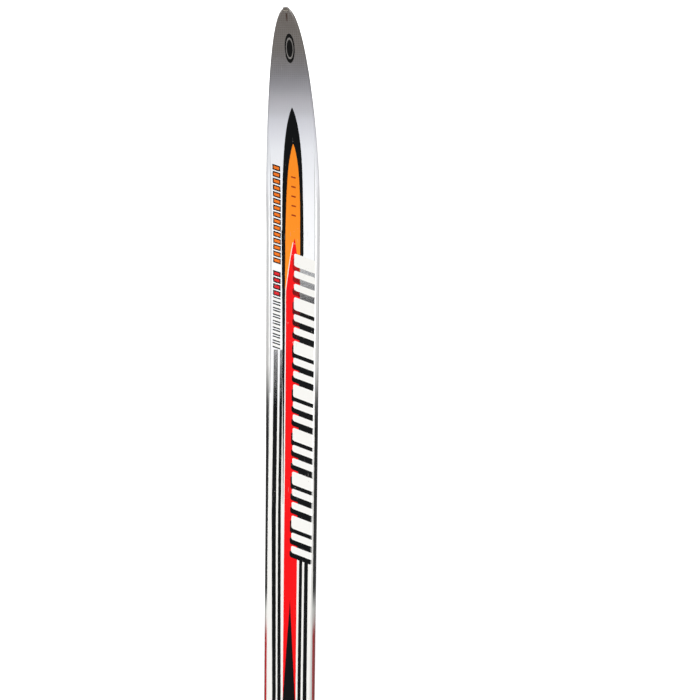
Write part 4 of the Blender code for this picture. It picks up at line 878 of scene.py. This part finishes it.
# Acetal: smooth and slightly waxy, with almost no grain.
acetal = moulded_plastic("orange_red_acetal", "b32c1a", "c53a24", 0.32, 0.9, 0.006, ior=1.48)
keep_frame_piece("jaw_slider", acetal, 0.3)


# ---- Jaw springs: two compression springs wound from bright spring wire, either side of the tongue.
# They push the jaw shut: the front ends stay against the housing's wall and the rear ends move with the jaw.

SPRING_RADIUS = 2.2 * MM
SPRING_WIRE = 0.8 * MM
SPRING_TURNS = 6
SPRING_END_TURNS = 1.0              # wound close at each end, so the spring stands flat
POINTS_PER_TURN = 20
WIRE_SIDES = 10

spring_wire = plated_steel("bright_spring_wire", "9a9da1", "c4c7ca", 0.24, 0)


def spring_line(low, high):
    """The wire's centre line, from the jaw's end to the wall's, with closed end turns."""
    centre_y = (low.y + high.y) / 2
    centre_z = (low.z + high.z) / 2
    rear = low.x + SPRING_WIRE / 2
    front = high.x - SPRING_WIRE / 2
    closed = SPRING_END_TURNS / SPRING_TURNS
    advance = SPRING_END_TURNS * 1.08 * SPRING_WIRE / (front - rear)
    steps = SPRING_TURNS * POINTS_PER_TURN
    line = []
    for k in range(steps + 1):
        share = k / steps
        if share < closed:
            along = advance * share / closed
        elif share > 1 - closed:
            along = 1 - advance * (1 - share) / closed
        else:
            along = blend(advance, 1 - advance, (share - closed) / (1 - 2 * closed))
        angle = 2 * math.pi * SPRING_TURNS * share
        line.append(Vector((blend(rear, front, along), centre_y + SPRING_RADIUS * math.cos(angle),
                            centre_z + SPRING_RADIUS * math.sin(angle))))
    return line


def add_jaw_spring(node_name):
    low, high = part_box(node_name)
    line = spring_line(low, high)
    axis_point = Vector((0, (low.y + high.y) / 2, (low.z + high.z) / 2))
    bm = bmesh.new()
    rings = []
    for i, point in enumerate(line):
        ahead = (line[min(i + 1, len(line) - 1)] - line[max(i - 1, 0)]).normalized()
        outward = Vector((0, point.y - axis_point.y, point.z - axis_point.z)).normalized()
        outward = (outward - ahead * outward.dot(ahead)).normalized()
        side = ahead.cross(outward)
        turns = [2 * math.pi * k / WIRE_SIDES for k in range(WIRE_SIDES)]
        rings.append([bm.verts.new(point + (outward * math.cos(a) + side * math.sin(a)) * SPRING_WIRE / 2)
                      for a in turns])
    for first, second in zip(rings, rings[1:]):
        for i in range(WIRE_SIDES):
            j = (i + 1) % WIRE_SIDES
            bm.faces.new((first[i], first[j], second[j], second[i]))
    bm.faces.new(rings[0])
    bm.faces.new(rings[-1])
    bmesh.ops.recalc_face_normals(bm, faces=bm.faces)
    coil = smooth(add_object(node_name + "_coil", bm), 50)
    coil.data.materials.append(spring_wire)
    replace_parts(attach(coil, "ski"), node_name)
    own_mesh(coil)


add_jaw_spring("jaw_spring_left")
add_jaw_spring("jaw_spring_right")


# ---- Flexor: a block of dark red thermoplastic rubber in front of the boot's toe, pressed into the housing.
# It is squeezed as the heel lifts and brings the ski back up under the boot.

# Thermoplastic rubber: matt, with the mould's coarser grain.
flexor_rubber = moulded_plastic("dark_red_thermoplastic_rubber", "66171a", "782022", 0.68, 0.45, 0.03,
                                ior=1.5)
keep_frame_piece("flexor", flexor_rubber, 0.7)


# ---- Release lever and its pin: the lever is moulded in red nylon and pressed down with the pole's tip.
# It turns on a bright steel pin, which is driven through the two ears.

# Red nylon from a finer mould than the housing's: half glossy, so it catches the light as it turns.
lever_nylon = moulded_plastic("red_nylon", "b51518", "cc1f20", 0.36, 0.6, 0.015)
keep_frame_piece("release_lever", lever_nylon, 0.45)

RIB_COUNT = 4
RIB_PITCH = 2.2 * MM
RIB_WIDTH = 1.0 * MM
RIB_RISE = 0.4 * MM
RIB_REACH = 8.5 * MM                # half a rib's length across
RIB_MARGIN = 2.2 * MM               # from the lever's rear edge to the first rib's middle


def add_lever_ribs():
    """Low rounded ribs across the lever's rear edge, which keep the pole's tip from sliding off."""
    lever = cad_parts["release_lever"]
    low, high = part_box("release_lever")
    bm = bmesh.new()
    for k in range(RIB_COUNT):
        x = low.x + RIB_MARGIN + k * RIB_PITCH
        above = Vector((x, RIB_REACH / 2, high.z + 5 * MM))
        point, normal = lever.ray_cast(above, Vector((0, 0, -1)))[1:3]
        lean = Matrix.Rotation(math.atan2(normal.x, normal.z), 3, "Y")
        rod = bmesh.ops.create_cone(bm, cap_ends=True, segments=16, radius1=0.5, radius2=0.5, depth=1)
        made = rod["verts"]
        bmesh.ops.rotate(bm, matrix=Matrix.Rotation(math.pi / 2, 3, "X"), verts=made)
        bmesh.ops.scale(bm, vec=(RIB_WIDTH, 2 * RIB_REACH, 2 * RIB_RISE), verts=made)
        bmesh.ops.rotate(bm, matrix=lean, verts=made)
        bmesh.ops.translate(bm, vec=(x, 0, point.z), verts=made)
    ribs = smooth(add_object("lever_grip_ribs", bm), 40)
    ribs.data.materials.append(lever_nylon)
    ends = ribs.modifiers.new("rounded_ends", "BEVEL")
    ends.width = 0.15 * MM
    ends.segments = 2
    ends.limit_method = "ANGLE"
    ends.angle_limit = math.radians(60)
    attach(ribs, "lever")


add_lever_ribs()
pin_steel = plated_steel("ground_steel_pin", "b4b7bb", "d6d8da", 0.2, 1)
keep_frame_piece("lever_pin", pin_steel, 0.2)


# ---- Guide rail and heel plate: black nylon, screwed to the ski behind the jaw and under the heel.
# The rail's ridge fits the groove in the boot's sole; the heel plate's cross grooves shed packed snow.

keep_frame_piece("guide_rail", black_nylon, 0.45)
keep_frame_piece("heel_plate", black_nylon, 0.45)


# ---- Binding screws: zinc-plated pan-head screws with a cross recess and a coarse thread for wood and glass.
# Three hold the toe housing, two the guide rail and two the heel plate, which lies on a slope.

HEAD_RADIUS = 3.7 * MM
HEAD_HEIGHT = 2.2 * MM
HEAD_FLAT = 0.62                    # the head's flat top, as a share of its radius
SCREW_LENGTH = 15 * MM              # below the head
THREAD_RADIUS = 2.1 * MM
THREAD_DEPTH = 0.55 * MM
THREAD_RISE = 1.8 * MM              # from one turn to the next
POINT_LENGTH = 3 * MM
BLADE_WIDTH = 4.4 * MM              # one blade of the recess
BLADE_THICKNESS = 1.1 * MM
BLADE_DEPTH = 2.4 * MM
SCREW_SIDES = 32
ROWS_PER_TURN = 8
HEEL_SLOPE = math.atan((top_z(HEEL_FRONT) - top_z(HEEL_REAR)) / (HEEL_FRONT - HEEL_REAR))

screw_steel = plated_steel("zinc_plated_screw_steel", "a9adb2", "cfd2d6", 0.3, 2)


def add_plain_screw():
    """One screw, its head's top at z = 0: a lathe grid whose lower rows follow the thread round the shank."""
    bm = bmesh.new()
    head = [(HEAD_FLAT, 0.0), (0.74, -0.03), (0.84, -0.13), (0.92, -0.30), (0.98, -0.52), (1.0, -0.75),
            (1.0, -0.95), (0.97, -1.0)]
    rows = [[(HEAD_RADIUS * r, HEAD_HEIGHT * z)] * SCREW_SIDES for r, z in head]
    count = math.ceil(SCREW_LENGTH / THREAD_RISE * ROWS_PER_TURN)
    for k in range(count):
        deep = SCREW_LENGTH * k / count
        taper = min(1.0, (SCREW_LENGTH - deep) / POINT_LENGTH)
        row = []
        for i in range(SCREW_SIDES):
            phase = (deep / THREAD_RISE + i / SCREW_SIDES) % 1.0
            crest = max(0.0, 1 - abs(phase - 0.5) / 0.28) * ease(deep / THREAD_RISE)
            row.append(((THREAD_RADIUS - THREAD_DEPTH * (1 - crest)) * taper, -HEAD_HEIGHT - deep))
        rows.append(row)
    rings = []
    for row in rows:
        turns = [2 * math.pi * i / SCREW_SIDES for i in range(SCREW_SIDES)]
        rings.append([bm.verts.new((r * math.cos(a), r * math.sin(a), z)) for (r, z), a in zip(row, turns)])
    for first, second in zip(rings, rings[1:]):
        for i in range(SCREW_SIDES):
            j = (i + 1) % SCREW_SIDES
            bm.faces.new((first[i], first[j], second[j], second[i]))
    bm.faces.new(rings[0])
    point = bm.verts.new((0, 0, -HEAD_HEIGHT - SCREW_LENGTH))
    for i in range(SCREW_SIDES):
        bm.faces.new((rings[-1][i], rings[-1][(i + 1) % SCREW_SIDES], point))
    bmesh.ops.recalc_face_normals(bm, faces=bm.faces)
    return add_object("binding_screw", bm)


def add_recess_cutter():
    """The driver's cross: two crossed blades, each narrower at the bottom."""
    bm = bmesh.new()
    for turn in (0, math.pi / 2):
        made = bmesh.ops.create_cube(bm, size=1)
        bmesh.ops.scale(bm, vec=(BLADE_WIDTH, BLADE_THICKNESS, BLADE_DEPTH), verts=made["verts"])
        for vertex in made["verts"]:
            if vertex.co.z < 0:
                vertex.co.x *= 0.55
                vertex.co.y *= 0.7
        bmesh.ops.translate(bm, vec=(0, 0, -0.2 * MM), verts=made["verts"])    # mostly below the head's top
        bmesh.ops.rotate(bm, matrix=Matrix.Rotation(turn, 3, "Z"), verts=made["verts"])
    return add_object("recess_cutter", bm)


def add_binding_screws():
    pattern = add_plain_screw()
    cutter = add_recess_cutter()
    cut = pattern.modifiers.new("recess", "BOOLEAN")
    cut.object = cutter
    cut.operation = "DIFFERENCE"
    cut.use_self = True
    finished = bpy.data.meshes.new_from_object(pattern.evaluated_get(bpy.context.evaluated_depsgraph_get()))
    bpy.data.objects.remove(pattern)
    bpy.data.objects.remove(cutter)
    finished.materials.clear()
    finished.materials.append(screw_steel)
    for name, turn in (("toe_screw_front", 20), ("toe_screw_left", 55), ("toe_screw_right", 5),
                       ("rail_screw_front", 70), ("rail_screw_rear", 35), ("heel_screw_front", 62),
                       ("heel_screw_rear", 15)):
        low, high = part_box(name)
        slope = HEEL_SLOPE if name.startswith("heel") else 0.0
        lean = Matrix.Rotation(-slope, 4, "Y")
        top = (low + high) / 2
        top.x -= math.sin(slope) * HEAD_HEIGHT / 2
        top.z = high.z - HEAD_RADIUS * HEAD_FLAT * math.sin(slope)
        screw = bpy.data.objects.new(name + "_threaded", finished.copy())
        screw.data.transform(Matrix.Translation(top) @ lean @ Matrix.Rotation(math.radians(turn), 4, "Z"))
        scene.collection.objects.link(screw)
        smooth(screw, 40)
        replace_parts(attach(screw, "ski"), name)


add_binding_screws()
